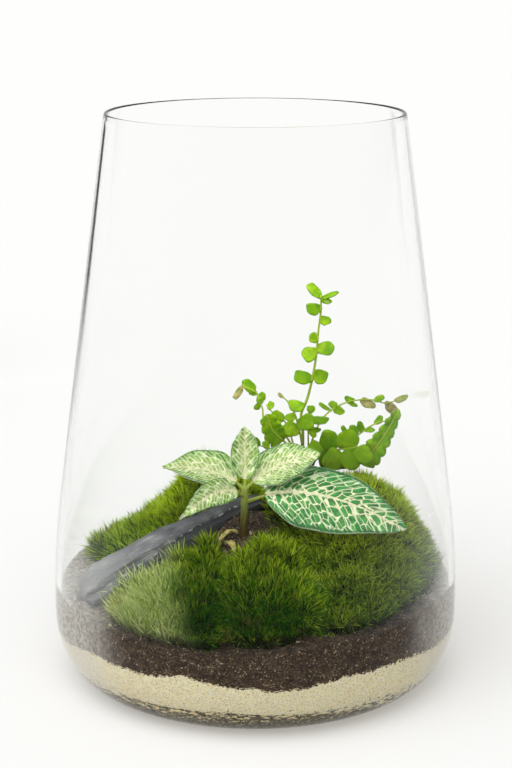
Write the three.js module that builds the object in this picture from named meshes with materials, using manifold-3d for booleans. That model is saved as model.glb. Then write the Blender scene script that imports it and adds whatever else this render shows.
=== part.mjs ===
// Glass jar terrarium: charcoal, sand and soil in layers, a mossy mound with a leaning slate,
// a nerve plant (fittonia) with net-veined leaves, and a fern with round leaflets.
// Millimetres, +Z up, origin at the middle of the jar's underside. Angles around the jar are in
// degrees, 0 at the front (-Y) and 90 at the right (+X).
import * as THREE from 'three';
import { mergeVertices } from 'three/addons/utils/BufferGeometryUtils.js';
import Module from 'manifold-3d';

const wasm = await Module();
wasm.setup();

// Jar
const JAR_HEIGHT = 300;
const RIM_RADIUS = 77;
const BELLY_RADIUS = 108;
const BELLY_Z = 38;
const SHOULDER_Z = 97;
const FOOT_RADIUS = 81;
const CORNER_POWER = 2.2;
const WALL = 3;
const FLOOR = 5;
const JAR_SIDES = 48;

// Clearance between pieces that touch
const GAP = 0.3;

// Ground layers: height of each layer's top line on the glass, as [angle, height]
const CHARCOAL_LINE = [[-150, 12], [-100, 12], [-48, 13.6], [-22, 14.9], [-5, 15.4], [11, 14],
  [29, 10.6], [46, 8], [90, 9], [135, 11.5]];
const SAND_LINE = [[-165, 31], [-120, 30], [-71, 28.1], [-51, 32.6], [-30, 31.3], [-20, 34], [-5, 30],
  [10, 28.4], [26, 32.2], [46, 33], [61, 30.6], [100, 32], [140, 30]];
const SOIL_LINE = [[-140, 53], [-95, 52], [-63, 52], [-44, 49.7], [-30, 47], [-15, 46], [1, 47.5],
  [20, 50], [36, 51], [59, 56], [100, 53], [150, 54]];
const SAND_MEAN = 31;
const CHARCOAL_MEAN = 12;

// Soil mound: a peak under the plants and a lower shoulder to its right
const MOUND_BASE = 52;
const PEAK = { x: -3, y: -5, rise: 44, reachX: 100, reachY: 95, power: 1.7, blunt: 0.015 };
const SHOULDER = { x: 62, y: 8, rise: 20, reachX: 26, reachY: 36 };

// Slate: its low end, the point it bends towards and its high end, its section as [across, up]
// offsets, and [place, scale] along it
const SLATE_LINE = [[-87, -48, 54.5], [-39, -15, 81], [2, 12, 88]];
const SLATE_SECTION = [[-10, -6], [-2, -7.5], [7, -7], [10, -4.5], [9, -2], [11, -1], [10, 2.5], [6.5, 3.5],
  [5.5, 6], [-1, 7.5], [-8, 6], [-11, 1]];
const SLATE_SCALES = [[0, 0.6], [0.03, 1.05], [0.12, 1.35], [0.28, 1.28], [0.46, 1.05], [0.66, 0.86],
  [0.86, 0.72], [1, 0.5]];

// Moss: swells whose envelope is the height that the cushions reach, as centre, rise and reach
const MOSS_BASE = 50;
const SWELLS = [
  { x: 55, y: 2, rise: 47, reachX: 39, reachY: 62, power: 3 },
  { x: 0, y: 5, rise: 41, reachX: 62, reachY: 76, power: 2 },
  { x: -28, y: 36, rise: 48, reachX: 30, reachY: 34, power: 2 },
];

// Each cushion's centre, outline as [angle, reach] round it, furthest radius in the jar, rings
// of tufts and seed
const MOSS_EDGE = 2.5;
const MOSS_TUFT = 5.5;
const CUSHIONS = [
  { name: 'moss_front_left', x: -42, y: -64, limit: 100, rings: 8, seed: 11,
    outline: [[-180, 36], [-150, 30], [-120, 28], [-90, 27], [-60, 30], [-35, 34], [0, 35], [30, 38],
      [60, 29], [90, 25], [120, 28], [155, 42]] },
  { name: 'moss_front_centre', x: 5, y: -60, limit: 100, rings: 8, seed: 23,
    outline: [[-180, 30], [-150, 25], [-120, 24], [-90, 22], [-50, 30], [0, 41], [45, 34], [90, 22],
      [135, 29], [160, 33]] },
  { name: 'moss_right', x: 60, y: -12, limit: 97, rings: 10, seed: 37,
    outline: [[-180, 62], [-150, 62], [-120, 56], [-95, 54], [-75, 44], [-60, 38], [-40, 50], [-20, 75],
      [0, 80], [30, 62], [60, 46], [90, 38], [120, 42], [150, 55]] },
  { name: 'moss_back', x: -36, y: 40, limit: 97, rings: 10, seed: 51,
    outline: [[-180, 56], [-135, 54], [-110, 58], [-90, 58], [-60, 53], [-33, 60], [0, 40], [30, 34],
      [60, 43], [100, 56], [140, 60]] },
];

// Nerve plant: stem, and each leaf's rib as base, control point and tip, the direction of its far
// edge, width, fold along the rib in degrees, and number of cells along it
const STEM = { foot: [-6.4, -20, 66], top: [-5.4, -20, 107], radiusFoot: 2.4, radiusTop: 1.9 };
const PETIOLE_RADIUS = 0.85;
const LEAF_THICK = 0.8;
const LEAVES = [
  { name: 'fittonia_leaf_left', joint: 105, base: [-9.6, -19, 109], bow: [-28, -16, 118.5],
    tip: [-48.7, -15, 115.8], side: [0.05, 0.87, 0.5], width: 26, fold: 12, cells: 10, taper: 1.15 },
  { name: 'fittonia_leaf_front', joint: 101, base: [-9, -26, 106], bow: [-21, -40, 114.5],
    tip: [-37.5, -54, 100], side: [-0.5, 0.3, 0.8], width: 14, fold: 4, cells: 10, taper: 1.1 },
  { name: 'fittonia_leaf_centre', joint: 105.5, base: [-5.4, -18.6, 110], bow: [-5.4, -13, 124],
    tip: [-5.3, -12, 136.5], side: [-1, 0, 0], width: 16, fold: 22, cells: 10, taper: 0.8 },
  { name: 'fittonia_leaf_right', joint: 105, base: [-1.6, -19, 109], bow: [14, -14, 121],
    tip: [34, -13, 122], side: [-0.15, 0.86, 0.48], width: 27, fold: 2, cells: 10, taper: 0.85 },
  { name: 'fittonia_leaf_large', joint: 98, base: [4.7, -24, 103.6], bow: [34, -25, 111.5],
    tip: [76.7, -41, 90.6], side: [0.02, 0.87, 0.5], width: 45, fold: -8, cells: 14,
    taper: 0.74 },
];

// Fern: crown, bare stipe length, and each frond's route with its leaflets as [place along the
// leafy part, angle from +X towards +Z, length, width], or a sword-shaped blade
const CROWN = { x: 26.5, y: 23.5, foot: 66, top: 101, radiusFoot: 8, radiusTop: 6 };
const STIPE = 21;
const LEAFLET_THICK = 0.7;
const FRONDS = [
  { name: 'fern_frond_tall', radius: 0.9,
    route: [[26, 24.5, 96], [26, 25.5, 112], [26, 26, 125], [25, 26, 133], [28, 25, 141], [31, 23, 154],
      [33, 21, 168], [34, 20, 182], [35, 18, 191], [35, 17, 201]],
    leaflets: [[0.44, 165, 10.5, 8], [0.47, -10, 8.5, 9], [0.61, 175, 8, 9.5], [0.65, 5, 9.5, 8.5],
      [0.71, 155, 5, 6.5], [0.84, -5, 6, 5.5], [0.91, 170, 8.5, 7], [0.99, 135, 10, 6], [0.98, -20, 6, 4],
      [0.98, 20, 10, 3]] },
  { name: 'fern_frond_left', radius: 0.7,
    route: [[23.3, 26.5, 96], [21, 29, 112], [15, 33, 121], [5, 37, 126], [4, 39, 133], [2, 40, 137],
      [1, 41, 141], [-7, 42, 145]],
    leaflets: [[1, -125, 9, 4], [0.83, 135, 9, 6.5], [0.8, -175, 4.5, 3], [0.67, -125, 5, 3.5],
      [0.73, 35, 4.5, 5], [0.74, -55, 4, 4]] },
  { name: 'fern_frond_left_inner', radius: 0.6,
    route: [[23.5, 24, 96], [21.5, 26, 113], [18, 28, 125], [15, 28, 130], [8, 28, 135], [6, 28, 138]],
    leaflets: [[0.9, 65, 4.5, 4], [0.52, 140, 7.5, 6], [0.68, -50, 4.5, 4]] },
  { name: 'fern_frond_front', radius: 0.7,
    route: [[26.3, 21.3, 96], [26, 19.5, 114], [23, 14, 131], [21, 11, 138], [17, 10, 145], [15, 9, 147]],
    leaflets: [[1, 135, 4, 2], [0.86, -10, 9, 7], [0.62, -165, 6, 5], [0.3, 160, 9, 9], [0.4, 35, 10, 9.5]] },
  { name: 'fern_sword_left', radius: 0.8, blade: { from: 0.2, width: 17, end: 0.5, lobes: 4 },
    route: [[23.8, 21.8, 96], [21, 21.5, 112], [16, 21, 119], [10, 20, 125], [6, 18, 135]] },
  { name: 'fern_frond_centre', radius: 0.6,
    route: [[28.2, 23, 96], [29, 22, 114], [29, 21, 127], [30, 20, 132], [30, 19, 136]],
    leaflets: [[1, 90, 4, 5], [0.78, -5, 10.5, 5], [0.44, 0, 7, 3.5], [0.55, -55, 7, 4]] },
  { name: 'fern_frond_right_upper', radius: 0.6,
    route: [[28, 26.7, 96], [30, 28, 113], [35, 31, 126], [40, 33, 132], [47, 35, 136], [55, 37, 138],
      [66, 38, 138], [72, 39, 136], [78, 40, 137]],
    leaflets: [[0.35, 150, 8, 2.5], [0.42, 155, 5, 4.5], [0.39, -20, 6, 5], [0.59, 165, 5.5, 3.5],
      [0.53, -25, 6.5, 2.5], [0.66, -25, 9, 5.5], [0.79, 25, 6, 4], [0.91, -40, 8.5, 6], [1, 20, 8, 4]] },
  { name: 'fern_frond_right_middle', radius: 0.7,
    route: [[30, 24.8, 96], [33, 23.5, 108], [40, 18, 113], [47, 16, 120], [53, 15, 123], [57, 14, 126],
      [62, 13, 130], [68, 12, 133], [73, 11, 133]],
    leaflets: [[0.4, 120, 9, 3], [0.5, 115, 6.5, 5], [0.6, 110, 6, 4.5], [0.64, 5, 5.5, 3],
      [0.8, 50, 5.5, 4], [0.93, 10, 6.5, 4]] },
  { name: 'fern_sword_right', radius: 0.8, blade: { from: 0.26, width: 17, end: 0.26, lobes: 7 },
    route: [[30, 22.3, 96], [34, 19, 103], [44, 14, 106], [55, 11, 109], [64, 9, 118], [71, 8, 129],
      [77, 7, 141]] },
  { name: 'fern_frond_low_right', radius: 0.7,
    route: [[28.6, 20.6, 96], [31, 16.5, 110], [38, 11, 117], [47, 7, 119], [55, 4.5, 121]],
    leaflets: [[0.15, 150, 9, 8], [0.35, 95, 12, 11], [0.62, 65, 13, 13], [0.5, -115, 12, 12],
      [0.8, -80, 12, 12], [1, -50, 11, 10], [0.25, -90, 10, 9]] },
  { name: 'fern_frond_low_left', radius: 0.6,
    route: [[25, 19.6, 96], [22, 16.5, 108], [15, 11, 116], [7, 6, 120], [2, 4, 122]],
    leaflets: [[1, 125, 5, 5], [0.7, 130, 4.5, 4]] },
];

// Dry scraps of old leaf on the bare soil by the stem: centre, length, width, turn, arch
const SCRAPS = [
  { name: 'dry_scrap_long', x: -14, y: -23, length: 11, width: 5, turn: 20, arch: 3 },
  { name: 'dry_scrap_short', x: -13, y: -29, length: 8, width: 4.5, turn: -50, arch: 2.5 },
];

const twoPi = Math.PI * 2;
const rad = THREE.MathUtils.degToRad;
const lerp = THREE.MathUtils.lerp;
const vec = (p) => new THREE.Vector3(p[0], p[1], p[2]);

// A repeatable stream of numbers from 0 to 1.
function draws(seed) {
  let state = seed;
  return () => {
    state = (state + 0x6d2b79f5) | 0;
    let mixed = Math.imul(state ^ (state >>> 15), 1 | state);
    mixed = (mixed + Math.imul(mixed ^ (mixed >>> 7), 61 | mixed)) ^ mixed;
    return ((mixed ^ (mixed >>> 14)) >>> 0) / 4294967296;
  };
}

// Smooth periodic curve through [angle, value] stops.
function around(stops, angle) {
  const turn = (a) => ((a % 360) + 360) % 360;
  for (let i = 0; i < stops.length; i += 1) {
    const [from, low] = stops[i];
    const [to, high] = stops[(i + 1) % stops.length];
    const span = turn(to - from);
    const along = turn(angle - from);
    if (along < span) return lerp(low, high, THREE.MathUtils.smoothstep(along / span, 0, 1));
  }
  return stops[0][1];
}

// The point at an angle round an upright axis.
function polar(angle, radius, z, x = 0, y = 0) {
  return new THREE.Vector3(x + radius * Math.sin(rad(angle)), y - radius * Math.cos(rad(angle)), z);
}

// A closed body from corner points and triangles, with its faces turned outwards.
function body(points, faces) {
  const geometry = new THREE.BufferGeometry();
  geometry.setAttribute('position', new THREE.Float32BufferAttribute(points.flatMap((p) => p.toArray()), 3));
  let volume = 0;
  for (const [a, b, c] of faces) volume += points[a].dot(points[b].clone().cross(points[c]));
  geometry.setIndex(faces.flatMap(([a, b, c]) => (volume > 0 ? [a, b, c] : [a, c, b])));
  return geometry;
}

// Rings of equally many points joined side by side, with a fan from the middle of each end. Each
// quad is split on its shorter diagonal, so that surfaces that face each other split alike.
function loft(rings) {
  const sides = rings[0].length;
  const middle = (ring) => ring.reduce((sum, p) => sum.add(p), new THREE.Vector3()).divideScalar(sides);
  const points = [...rings.flat(), middle(rings[0]), middle(rings.at(-1))];
  const faces = [];
  const last = (rings.length - 1) * sides;
  for (let i = 0; i < sides; i += 1) {
    const next = (i + 1) % sides;
    for (let row = 0; row < last; row += sides) {
      const [a, b, c, d] = [row + i, row + next, row + sides + next, row + sides + i];
      const rising = points[a].distanceTo(points[c]) < points[b].distanceTo(points[d]);
      faces.push(...(rising ? [[a, b, c], [a, c, d]] : [[a, b, d], [b, c, d]]));
    }
    faces.push([points.length - 2, next, i], [points.length - 1, last + i, last + next]);
  }
  return body(points, faces);
}

// A geometry as a solid that can be joined and cut, and back.
function solid(geometry) {
  const bare = new THREE.BufferGeometry().setAttribute('position', geometry.getAttribute('position'));
  bare.setIndex(geometry.getIndex());
  const merged = mergeVertices(bare);
  const corners = merged.getIndex().array;
  const kept = [];
  for (let i = 0; i < corners.length; i += 3) {
    const [a, b, c] = corners.subarray(i, i + 3);
    if (a !== b && b !== c && c !== a) kept.push(a, b, c);
  }
  return new wasm.Manifold(new wasm.Mesh({
    numProp: 3,
    vertProperties: merged.getAttribute('position').array,
    triVerts: new Uint32Array(kept),
  }));
}

// The largest piece of a cut solid, so that loose scraps are dropped.
function shape(cut) {
  const pieces = cut.decompose().sort((a, b) => b.volume() - a.volume());
  const mesh = pieces[0].simplify(0.005).getMesh();
  const geometry = new THREE.BufferGeometry();
  geometry.setAttribute('position', new THREE.BufferAttribute(mesh.vertProperties, 3));
  geometry.setIndex(new THREE.BufferAttribute(mesh.triVerts, 1));
  return geometry;
}

// A tapering round stem along a smooth curve through its points.
function stem(route, radiusFrom, radiusTo, sides, steps) {
  const curve = new THREE.CatmullRomCurve3(route.map(vec));
  const frames = curve.computeFrenetFrames(steps, false);
  const rings = frames.tangents.map((tangent, i) => {
    const middle = curve.getPointAt(i / steps);
    const radius = lerp(radiusFrom, radiusTo, i / steps);
    return Array.from({ length: sides }, (_, k) => middle.clone()
      .addScaledVector(frames.normals[i], radius * Math.cos((twoPi * k) / sides))
      .addScaledVector(frames.binormals[i], radius * Math.sin((twoPi * k) / sides)));
  });
  return loft(rings);
}

// Jar wall: a rounded corner from the foot to the belly, a bend, then a straight taper to the rim.
const TAPER = (BELLY_RADIUS - RIM_RADIUS) / ((SHOULDER_Z - BELLY_Z) / 2 + JAR_HEIGHT - SHOULDER_Z);

function jarRadius(z, foot, floor, belly) {
  if (z < BELLY_Z) {
    const down = (BELLY_Z - z) / (BELLY_Z - floor);
    return foot + (belly - foot) * (1 - down ** CORNER_POWER) ** (1 / CORNER_POWER);
  }
  const bend = Math.min(z, SHOULDER_Z) - BELLY_Z;
  return belly - (TAPER * bend ** 2) / (2 * (SHOULDER_Z - BELLY_Z)) - TAPER * Math.max(z - SHOULDER_Z, 0);
}

const outsideRadius = (z) => jarRadius(z, FOOT_RADIUS, 0, BELLY_RADIUS);
const insideRadius = (z) => jarRadius(z, FOOT_RADIUS - WALL - 1, FLOOR, BELLY_RADIUS - WALL);
const fillRadius = (z) => insideRadius(Math.max(z - GAP, FLOOR)) - GAP;

function jar() {
  const cornerSteps = 6;
  const bendSteps = 2;
  const lipSteps = 3;
  const lip = WALL / 2;
  const climb = (floor, radiusAt) => {
    const points = [];
    for (let i = 0; i <= cornerSteps; i += 1) {
      const z = floor + (BELLY_Z - floor) * (1 - Math.cos((Math.PI / 2) * (i / cornerSteps)));
      points.push(new THREE.Vector2(radiusAt(z), z));
    }
    for (let i = 1; i <= bendSteps; i += 1) {
      const z = lerp(BELLY_Z, SHOULDER_Z, i / bendSteps);
      points.push(new THREE.Vector2(radiusAt(z), z));
    }
    return points;
  };
  const rim = [];
  for (let i = 0; i <= lipSteps; i += 1) {
    const turn = (Math.PI * i) / lipSteps;
    rim.push(new THREE.Vector2(RIM_RADIUS - lip + lip * Math.cos(turn), JAR_HEIGHT - lip + lip * Math.sin(turn)));
  }
  const profile = [new THREE.Vector2(0, 0), ...climb(0, outsideRadius), ...rim,
    ...climb(FLOOR, insideRadius).reverse(), new THREE.Vector2(0, FLOOR)];
  const turned = new THREE.LatheGeometry(profile, JAR_SIDES).rotateX(Math.PI / 2);
  return shape(solid(turned));
}

// Ground layers
const SPREAD = [0.8, 1];

// The rings of one layer line, from its middle out to the glass, raised by a clearance.
function layerRings(line, mean, raise) {
  return SPREAD.map((out) => jarAngles().map((angle) => {
    const level = around(line, angle);
    return polar(angle, out * fillRadius(level + raise), lerp(mean, level, out ** 8) + raise);
  }));
}

function jarAngles() {
  return Array.from({ length: JAR_SIDES }, (_, k) => (360 * k) / JAR_SIDES);
}

// The rings up the glass between two heights given by angle.
function glassRings(lowAt, highAt, steps) {
  return Array.from({ length: steps - 1 }, (_, i) => jarAngles().map((angle) => {
    const z = lerp(lowAt(angle), highAt(angle), (i + 1) / steps);
    return polar(angle, fillRadius(z), z);
  }));
}

const charcoalAt = (angle) => around(CHARCOAL_LINE, angle);
const sandAt = (angle) => around(SAND_LINE, angle);
const soilAt = (angle) => around(SOIL_LINE, angle);

function charcoalLayer() {
  const floor = FLOOR + GAP;
  const foot = jarAngles().map((angle) => polar(angle, fillRadius(floor), floor));
  return loft([foot, ...glassRings(() => floor, charcoalAt, 4),
    ...layerRings(CHARCOAL_LINE, CHARCOAL_MEAN, 0).reverse()]);
}

function sandLayer() {
  return loft([...layerRings(CHARCOAL_LINE, CHARCOAL_MEAN, GAP),
    ...glassRings((angle) => charcoalAt(angle) + GAP, sandAt, 4),
    ...layerRings(SAND_LINE, SAND_MEAN, 0).reverse()]);
}

// Height of the soil's surface.
function soilTop(x, y) {
  const out = Math.min(Math.hypot(x, y) / insideRadius(MOUND_BASE), 1);
  const level = lerp(MOUND_BASE, soilAt(THREE.MathUtils.radToDeg(Math.atan2(x, -y))), out);
  const away = Math.sqrt(((x - PEAK.x) / PEAK.reachX) ** 2 + ((y - PEAK.y) / PEAK.reachY) ** 2 + PEAK.blunt);
  const peak = PEAK.rise * Math.max(1 - away, 0) ** PEAK.power;
  const spread = ((x - SHOULDER.x) / SHOULDER.reachX) ** 2 + ((y - SHOULDER.y) / SHOULDER.reachY) ** 2;
  const shoulder = SHOULDER.rise * Math.exp(-spread) * (1 - out ** 6);
  return level + peak + shoulder;
}

// The mound from a base line up; raised, it cuts what lies on it.
function mound(base, raise) {
  const outs = [1, 0.92, 0.8, 0.64, 0.46, 0.28, 0.12];
  const top = outs.map((out) => jarAngles().map((angle) => {
    const p = polar(angle, out * fillRadius(soilAt(angle)), 0);
    return p.setZ(soilTop(p.x, p.y) + raise);
  }));
  const wall = glassRings((angle) => sandAt(angle) + GAP, (angle) => soilAt(angle) + raise, 3);
  return solid(loft([...base, ...wall, ...top]));
}

const soilBase = () => layerRings(SAND_LINE, SAND_MEAN, GAP);

// Slate: a layered splinter with blunt ends. A positive grow makes the seat that it leaves.
function slate(grow) {
  const axis = new THREE.QuadraticBezierCurve3(...SLATE_LINE.map(vec));
  const chip = draws(7);
  const rings = SLATE_SCALES.map(([place, scale], i) => {
    const along = axis.getTangent(place);
    const across = along.clone().cross(new THREE.Vector3(0, 0, 1)).normalize();
    const up = across.clone().cross(along);
    const end = (i === SLATE_SCALES.length - 1) - (i === 0);
    return SLATE_SECTION.map(([a, b]) => {
      const size = scale * (0.92 + 0.16 * chip()) * (1 + grow / 5);
      return axis.getPoint(place)
        .addScaledVector(along, (chip() - 0.5) * 3 + end * grow)
        .addScaledVector(across, a * size)
        .addScaledVector(up, b * size);
    });
  });
  return solid(loft(rings));
}

// Moss: a cushion on a triangle lattice of rings, where every third corner stands up as a tuft,
// so that tufts cover the whole cushion.
const HEX = [[1, 0], [0, 1], [-1, 1], [-1, 0], [0, -1], [1, -1]];
const MOSS_FLOOR = 42;

function isTuft(ring, side, step) {
  const [q, r] = HEX[side];
  const [alongQ, alongR] = HEX[(side + 2) % 6];
  return (ring * (q - r) + step * (alongQ - alongR)) % 3 === 0;
}

// Height of the moss before its tufts, where nothing cuts it off.
function swellTop(x, y) {
  const rises = SWELLS.map((swell) => {
    const away = ((x - swell.x) / swell.reachX) ** 2 + ((y - swell.y) / swell.reachY) ** 2;
    return swell.rise * Math.exp(-(away ** (swell.power / 2)));
  });
  return MOSS_BASE + Math.cbrt(rises.reduce((sum, rise) => sum + rise ** 3, 0));
}

// A cushion's outline, kept inside the jar.
function cushionReach({ x, y, limit, outline }, angle) {
  const toward = polar(angle, 1, 0);
  const along = x * toward.x + y * toward.y;
  const toLimit = Math.sqrt(along ** 2 + limit ** 2 - x ** 2 - y ** 2) - along;
  return Math.min(around(outline, angle), toLimit);
}

function mossTop(cushion, angle, out) {
  const p = polar(angle, out * cushionReach(cushion, angle), 0, cushion.x, cushion.y);
  const edge = soilTop(p.x, p.y) + MOSS_EDGE;
  const swell = Math.max(1 - out ** 5, 0) ** 0.45;
  return p.setZ(Math.max(lerp(edge, swellTop(p.x, p.y), swell), edge));
}

function cushionBody(cushion) {
  const { x, y, rings, seed } = cushion;
  const draw = draws(seed);
  const points = [];
  const firsts = [];
  for (let ring = 0; ring <= rings; ring += 1) {
    firsts.push(points.length);
    const count = Math.max(6 * ring, 1);
    for (let k = 0; k < count; k += 1) {
      const angle = (360 * k) / count;
      const p = mossTop(cushion, angle, ring / rings);
      const height = MOSS_TUFT * lerp(0.7, 1.3, draw());
      const lean = ring === rings ? 0 : height * 0.3 * (ring / rings);
      const sway = [draw() - 0.5, draw() - 0.5];
      if (isTuft(ring, Math.floor(k / Math.max(ring, 1)), k % Math.max(ring, 1))) {
        p.add(polar(angle, lean, height));
        if (ring < rings - 1) p.add(new THREE.Vector3(2 * sway[0], 2 * sway[1], 0));
      }
      points.push(p);
    }
  }
  const faces = [];
  for (let ring = 0; ring < rings; ring += 1) {
    const inner = (side, step) => firsts[ring] + (ring ? (side * ring + step) % (6 * ring) : 0);
    const outer = (side, step) => firsts[ring + 1] + ((side * (ring + 1) + step) % (6 * (ring + 1)));
    for (let side = 0; side < 6; side += 1) {
      for (let step = 0; step <= ring; step += 1) {
        faces.push([inner(side, step), outer(side, step), outer(side, step + 1)]);
        if (step < ring) faces.push([inner(side, step), outer(side, step + 1), inner(side, step + 1)]);
      }
    }
  }
  const rim = 6 * rings;
  const below = points.length;
  for (let k = 0; k < rim; k += 1) points.push(points[firsts[rings] + k].clone().setZ(MOSS_FLOOR));
  points.push(new THREE.Vector3(x, y, MOSS_FLOOR));
  for (let k = 0; k < rim; k += 1) {
    const next = (k + 1) % rim;
    const edge = firsts[rings];
    faces.push([edge + k, below + k, below + next], [edge + k, below + next, edge + next]);
    faces.push([below + next, below + k, points.length - 1]);
  }
  return solid(body(points, faces));
}

// The upright column that a cushion keeps to, with a clearance round it.
function cushionColumn(cushion) {
  const count = 6 * cushion.rings;
  const ringAt = (z) => Array.from({ length: count }, (_, k) => {
    const angle = (360 * k) / count;
    return polar(angle, cushionReach(cushion, angle) + 2 * GAP, z, cushion.x, cushion.y);
  });
  return solid(loft([ringAt(MOSS_FLOOR - 10), ringAt(JAR_HEIGHT)]));
}

// A blade on a curved rib: its outline gives the half width from 0 to 1 along the rib. Both faces
// are split into the same triangles.
function blade({ rib, side, width, fold, cells, across, outline, thick }) {
  const far = vec(side);
  const row = (t, drop) => {
    const middle = rib.getPoint(t);
    const along = rib.getTangent(t);
    const out = far.clone().addScaledVector(along, -far.dot(along)).normalize();
    const face = along.clone().cross(out);
    if (face.z - face.y < 0) face.negate();
    return Array.from({ length: 2 * across + 1 }, (_, j) => {
      const v = (j - across) / across;
      const reach = v * (width / 2) * outline(t);
      return middle.clone()
        .addScaledVector(out, reach * Math.cos(rad(fold)))
        .addScaledVector(face, Math.abs(reach) * Math.sin(rad(fold)) - drop);
    });
  };
  const columns = 2 * across + 1;
  const points = [];
  for (let i = 0; i <= cells; i += 1) points.push(...row(i / cells, 0), ...row(i / cells, thick));
  const top = (i, j) => i * 2 * columns + j;
  const under = (i, j) => top(i, j) + columns;
  const faces = [];
  const quad = (a, b, c, d) => faces.push([a, b, c], [a, c, d]);
  for (let i = 0; i < cells; i += 1) {
    for (let j = 0; j < columns - 1; j += 1) {
      quad(top(i, j), top(i + 1, j), top(i + 1, j + 1), top(i, j + 1));
      faces.push([under(i, j), under(i + 1, j + 1), under(i + 1, j)]);
      faces.push([under(i, j), under(i, j + 1), under(i + 1, j + 1)]);
    }
    quad(top(i, 0), under(i, 0), under(i + 1, 0), top(i + 1, 0));
    quad(top(i, columns - 1), top(i + 1, columns - 1), under(i + 1, columns - 1), under(i, columns - 1));
  }
  for (let j = 0; j < columns - 1; j += 1) {
    quad(top(0, j), top(0, j + 1), under(0, j + 1), under(0, j));
    quad(top(cells, j), under(cells, j), under(cells, j + 1), top(cells, j + 1));
  }
  return body(points, faces);
}

// Nerve plant
function ovate(t, { cells, taper }) {
  const widest = 0.62 / (0.62 + taper);
  const wide = (t / widest) ** 0.62 * ((1 - t) / (1 - widest)) ** taper;
  const tooth = Math.round(t * cells) % 2 ? 1 : 0.95;
  return Math.max(wide * tooth, 0.06);
}

function leafRib({ base, bow, tip }) {
  return new THREE.QuadraticBezierCurve3(vec(base), vec(bow), vec(tip));
}

function nerveLeaf(leaf) {
  return blade({ ...leaf, rib: leafRib(leaf), across: 2, thick: LEAF_THICK,
    outline: (t) => ovate(t, leaf) });
}

function nerveStem(grow) {
  const { foot, top, radiusFoot, radiusTop } = STEM;
  let joined = solid(stem([foot, top], radiusFoot + grow, radiusTop + grow, 8, 4));
  for (const leaf of LEAVES) {
    const rib = leafRib(leaf);
    const end = vec(leaf.base).addScaledVector(rib.getTangent(0), -GAP);
    end.z -= LEAF_THICK / 2;
    const start = vec(foot).lerp(vec(top), (leaf.joint - foot[2]) / (top[2] - foot[2]));
    joined = joined.add(solid(stem([start.toArray(), end.toArray()], PETIOLE_RADIUS + 0.2 + grow,
      PETIOLE_RADIUS + grow, 6, 2)));
  }
  return joined;
}

// Fern
function crownBody(grow) {
  const scale = draws(5);
  const levels = 9;
  const rings = [];
  for (let i = 0; i <= levels; i += 1) {
    const up = i / levels;
    const reach = lerp(CROWN.radiusFoot, CROWN.radiusTop, up) * (i === levels ? 0.6 : 1);
    rings.push(Array.from({ length: 10 }, (_, k) => polar(36 * k + 18 * (i % 2),
      reach * lerp(0.88, 1.12, scale()) + grow, lerp(CROWN.foot, CROWN.top, up), CROWN.x, CROWN.y)));
  }
  return solid(loft(rings));
}

function roundLeaflet(root, angle, length, width, lean) {
  const along = new THREE.Vector3(Math.cos(rad(angle)), Math.sin(rad(lean)), Math.sin(rad(angle))).normalize();
  const face = new THREE.Vector3(0, -0.9, 0.44);
  face.addScaledVector(along, -face.dot(along)).normalize();
  const out = along.clone().cross(face);
  const ring = (drop) => Array.from({ length: 8 }, (_, k) => {
    const turn = (twoPi * k) / 8;
    const wide = Math.sign(Math.sin(turn)) * Math.abs(Math.sin(turn)) ** 0.8 * (width / 2);
    const cup = (0.12 * wide ** 2) / width;
    return root.clone()
      .addScaledVector(along, lerp(-0.4, length, (1 - Math.cos(turn)) / 2))
      .addScaledVector(out, wide)
      .addScaledVector(face, LEAFLET_THICK / 2 - drop - cup);
  });
  return solid(loft([ring(0), ring(LEAFLET_THICK)]));
}

// The place on a frond's rachis, past its bare stipe.
function leafyPlace(curve, place) {
  const bare = STIPE / curve.getLength();
  return lerp(bare, 1, place);
}

function swordBlade(curve, { from, width, end, lobes }) {
  const start = leafyPlace(curve, from);
  const rib = { getPoint: (t) => curve.getPointAt(lerp(start, 1, t)),
    getTangent: (t) => curve.getTangentAt(lerp(start, 1, t)) };
  const outline = (t) => {
    const taper = Math.min(t / 0.12, 1) * lerp(1, end, t) * Math.min((1.03 - t) / 0.08, 1);
    return Math.max(taper * lerp(0.72, 1, Math.abs(Math.sin(Math.PI * lobes * t))), 0.08);
  };
  const chord = rib.getPoint(1).sub(rib.getPoint(0)).normalize();
  const side = chord.cross(new THREE.Vector3(0, -0.95, 0.3)).toArray();
  return blade({ rib, side, width, fold: 8, cells: 4 * lobes, across: 1, outline, thick: LEAFLET_THICK + 0.1 });
}

function frond({ route, radius, leaflets = [], blade: sword }) {
  const curve = new THREE.CatmullRomCurve3(route.map(vec));
  let joined = solid(stem(route, radius, radius * 0.6, 5, route.length + 1));
  const draw = draws(route.length * 100 + leaflets.length);
  for (const [place, angle, length, width] of leaflets) {
    const root = curve.getPointAt(leafyPlace(curve, place));
    joined = joined.add(roundLeaflet(root, angle, length, width, 40 * (draw() - 0.5)));
  }
  if (sword) joined = joined.add(solid(swordBlade(curve, sword)));
  return joined;
}

// The plain hole that a frond's foot stands in.
function frondHole({ route, radius }) {
  return solid(stem(route.slice(0, 3), radius + GAP, radius + GAP, 5, 4));
}

// Dry scraps
function dryScrap({ x, y, length, width, turn, arch }) {
  const half = polar(turn + 90, length / 2, 0);
  const lift = GAP + 1.4;
  const on = (p, up) => p.setZ(soilTop(p.x, p.y) + lift + up);
  const base = on(new THREE.Vector3(x, y, 0).sub(half), 0);
  const tip = on(new THREE.Vector3(x, y, 0).add(half), 0);
  const bow = on(new THREE.Vector3(x, y, 0), 2 * arch);
  const rib = new THREE.QuadraticBezierCurve3(base, bow, tip);
  const side = polar(turn, 1, 0.1).toArray();
  return blade({ rib, side, width, fold: 30, cells: 6, across: 1, thick: 0.7,
    outline: (t) => Math.max(Math.sin(Math.PI * t) ** 0.6, 0.2) });
}

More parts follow.
